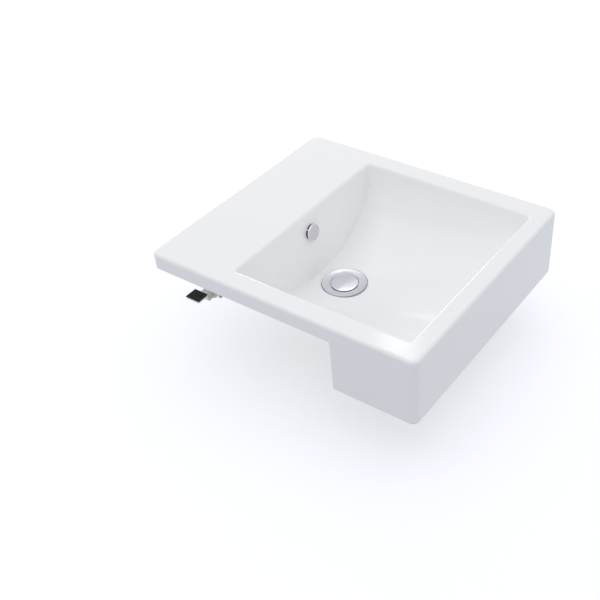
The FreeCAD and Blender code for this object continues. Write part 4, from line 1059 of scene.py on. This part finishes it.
REFINED = [
    ("brass_back_nut", "back_nut", "raw_brass", "turned_raw_brass", "basin", 0.35),
    ("cam_plunger", "plunger", "raw_brass", "turned_raw_brass", "plug", 0.08),
    ("guide_sleeve", "cartridge_sleeve", "raw_brass", "turned_raw_brass", "basin", 0.12),
    ("guide_collar", "cartridge_collar", "raw_brass", "turned_raw_brass", "basin", 0.15),
    ("nylon_anchors", "stud_anchors", "grey_nylon", "moulded_grey_nylon", "basin", 0.25),
    ("steel_clamps", "clamp_brackets", "zinc_steel", "zinc_plated_steel", "basin", 0.25),
    ("steel_washers", "clamp_washers", "zinc_steel", "zinc_plated_steel", "basin", 0.2),
    ("steel_wing_nuts", "wing_nuts", "zinc_steel", "zinc_plated_steel", "basin", 0.3),
]
for name, node, slot, material, body, width in REFINED:
    mesh = painted(refined(node, width), material)
    placed(name, mesh, body, [node])
    print("%-18s %6d faces" % (name, len(mesh.polygons)))

# %% [markdown]
# ## Studs and pads of the clamps
# The studs are M6 threaded rod with bevelled ends: spun, then cut by the thread tree. Each clamp
# grips upwards through a rubber pad with ribs across it.

# %% Studs and pads
CLAMP_X, CLAMP_Y = 136.0, 258.0
STUD_R, STUD_LOW, STUD_HIGH, STUD_PITCH, STUD_DEPTH, STUD_END = 3.0, -76.0, 14.0, 1.0, 0.5, 0.6
studs, pads = [], []
for side_sign in (-1, 1):
    centre = Vector((side_sign * CLAMP_X, CLAMP_Y, 0.0))
    rod_outline = [(0, STUD_LOW), (STUD_R - STUD_END, STUD_LOW)]
    rod_outline += side(STUD_R, STUD_LOW + STUD_END, STUD_HIGH - STUD_END, STUD_PITCH)
    rod_outline += [(STUD_R - STUD_END, STUD_HIGH), (0, STUD_HIGH)]
    studs.append(threaded(rod_outline, 24, centre, "zinc_plated_steel", Radius=STUD_R, Pitch=STUD_PITCH,
                          Depth=STUD_DEPTH, Low=STUD_LOW, High=STUD_HIGH))
stud_mesh = painted(joined(*studs), "zinc_plated_steel")
placed("threaded_studs", stud_mesh, stands_for=["fixing_studs"])
print("studs:", len(stud_mesh.polygons), "faces")

PAD_LOW, PAD_TOP, PAD_RIB, PAD_BEVEL = -42.0, -40.0, 0.7, 0.25
FOOT_X, FOOT_END_X, PAD_HALF_WIDTH, PAD_RIBS = 172.0, 192.0, 12.5, 6
RIB_SHARE, RIB_SUNK = 0.55, 0.1
ribs_tree, given = new_tree("row_of_ribs", {
    "Count": "Int", "First": "Vector", "Step": "Vector", "Size": "Vector", "Finish": "Material"})
row = add_node(ribs_tree, "GeometryNodeMeshLine", {
    "Count": given.outputs["Count"], "Start Location": given.outputs["First"],
    "Offset": given.outputs["Step"]})
rib = add_node(ribs_tree, "GeometryNodeMeshCube", {"Size": given.outputs["Size"]})
on_row = add_node(ribs_tree, "GeometryNodeInstanceOnPoints", {"Points": row.outputs[0],
                                                              "Instance": rib.outputs["Mesh"]})
end_tree(ribs_tree, given, on_row.outputs[0])
pad_length, spacing = FOOT_END_X - FOOT_X, 2 * PAD_HALF_WIDTH / PAD_RIBS
for side_sign in (-1, 1):
    middle_x = side_sign * (FOOT_X + FOOT_END_X) / 2
    plate = block((-pad_length / 2, -PAD_HALF_WIDTH, PAD_LOW),
                  (pad_length / 2, PAD_HALF_WIDTH, PAD_TOP - PAD_RIB), Vector((middle_x, CLAMP_Y, 0.0)))
    bmesh.ops.bevel(plate, geom=plate.edges[:], offset=PAD_BEVEL * MM, segments=2, profile=0.5,
                    affect="EDGES")
    pads.append(shaded(plate))
    first_rib = Vector((middle_x, CLAMP_Y - PAD_HALF_WIDTH + spacing / 2,
                        PAD_TOP - PAD_RIB / 2 - RIB_SUNK / 2))
    pads.append(baked(empty_mesh, ribs_tree, {
        "Count": PAD_RIBS, "First": first_rib * MM, "Step": Vector((0, spacing, 0)) * MM,
        "Size": Vector((pad_length, spacing * RIB_SHARE, PAD_RIB + RIB_SUNK)) * MM,
        "Finish": finish["moulded_black_rubber"]}))
pad_mesh = painted(joined(*pads), "moulded_black_rubber")
placed("ribbed_pads", pad_mesh, stands_for=["clamp_pads"])
print("pads:", len(pad_mesh.polygons), "faces")

# %% [markdown]
# ## Floor, light and backdrop
# The part stands on a plain white floor. The floor is matt, and for the eye, and for what is seen
# in the chrome, it gets enough glow to be white where no shadow lies on it; it lights nothing.
# Away from the part the floor turns fully white, so that it has no visible end.
# The light is soft: an even pale world and one very large, weak softbox above. Two weak lamps
# behind the right side add little light and give the glints: the small one on the rim's front left
# corner, the low one along the inner edge of the front rim.

# %% Floor and light
FLOOR_Z = cad_box[0].z
FLOOR_REACH = 12            # metres from the middle to each side
floor_mesh = bpy.data.meshes.new("floor")
floor_mesh.from_pydata([(x * FLOOR_REACH, y * FLOOR_REACH, FLOOR_Z)
                        for x, y in ((-1, -1), (1, -1), (1, 1), (-1, 1))], [], [(0, 1, 2, 3)])
new_object("floor", floor_mesh)


def seen(tree):
    """1 for what the camera sees directly, in a reflection or through glass, and 0 for light."""
    path = add_node(tree, "ShaderNodeLightPath")
    either = add_node(tree, "ShaderNodeMath", {0: path.outputs["Is Camera Ray"],
                                               1: path.outputs["Is Glossy Ray"]}, operation="MAXIMUM")
    return add_node(tree, "ShaderNodeMath", {0: either.outputs[0], 1: path.outputs["Is Transmission Ray"]},
                    operation="MAXIMUM").outputs[0]


FLOOR_GLOW, GLOW_FROM, GLOW_TO = 0.51, 0.5, 2.5
FLOOR_COLOUR = "#C9CDD6"
floor_paint = bpy.data.materials.new("matt_white_floor")
floor_paint.use_nodes = True
tree = floor_paint.node_tree
tree.nodes.clear()
matt = add_node(tree, "ShaderNodeBsdfDiffuse", {"Color": linear(FLOOR_COLOUR)})
place = add_node(tree, "ShaderNodeTexCoord")
from_middle = add_node(tree, "ShaderNodeVectorMath", {0: place.outputs["Object"]}, operation="LENGTH")
whiter = add_node(tree, "ShaderNodeMapRange", {"Value": from_middle.outputs["Value"], "From Min": GLOW_FROM,
                                               "From Max": GLOW_TO, "To Min": FLOOR_GLOW, "To Max": 1.0},
                  interpolation_type="SMOOTHSTEP")
glow_level = add_node(tree, "ShaderNodeMath", {0: seen(tree), 1: whiter.outputs["Result"]},
                      operation="MULTIPLY")
glow = add_node(tree, "ShaderNodeEmission", {"Strength": glow_level.outputs[0]})
both = add_node(tree, "ShaderNodeAddShader", {0: matt.outputs[0], 1: glow.outputs[0]})
add_node(tree, "ShaderNodeOutputMaterial", {"Surface": both.outputs[0]})
floor_mesh.materials.append(floor_paint)

WORLD_LEVEL = 0.70
world = bpy.data.worlds.new("pale_room")
bpy.context.scene.world = world
world.use_nodes = True
tree = world.node_tree
tree.nodes.clear()
ROOM_TINT, SEEN_TINT = "#FBFCFF", "#FFFFFF"
looked_at = seen(tree)
level = add_node(tree, "ShaderNodeMapRange", {"Value": looked_at, "To Min": WORLD_LEVEL, "To Max": 1.0})
tint = add_node(tree, "ShaderNodeMix", {"Factor": looked_at, "A": linear(ROOM_TINT), "B": linear(SEEN_TINT)},
                data_type="RGBA")
sky = add_node(tree, "ShaderNodeBackground", {"Color": tint.outputs["Result"], "Strength": level.outputs[0]})
add_node(tree, "ShaderNodeOutputWorld", {"Surface": sky.outputs[0]})

LAMPS = [
    ("softbox_overhead", (0.0, 0.3, 2.3), (0.0, 0.15, 0.0), 3.4, 16.0),
    ("low_lamp_behind", (1.3, 1.5, 0.35), (0.1, -0.1, 0.0), 0.7, 5.0),
    ("small_lamp_behind", (0.82, 0.57, 1.09), (-0.15, -0.1, 0.025), 0.10, 0.16),
]
for name, place, aim, size, power in LAMPS:
    lamp = bpy.data.lights.new(name, "AREA")
    lamp.shape = "SQUARE"
    lamp.size = size
    lamp.energy = power
    stand = new_object(name, lamp)
    stand.location = place
    stand.rotation_euler = (Vector(aim) - Vector(place)).to_track_quat("-Z", "Y").to_euler()
bpy.context.scene.view_settings.view_transform = "Standard"
print("floor at %.1f mm, lamps:" % (FLOOR_Z / MM), len(LAMPS))
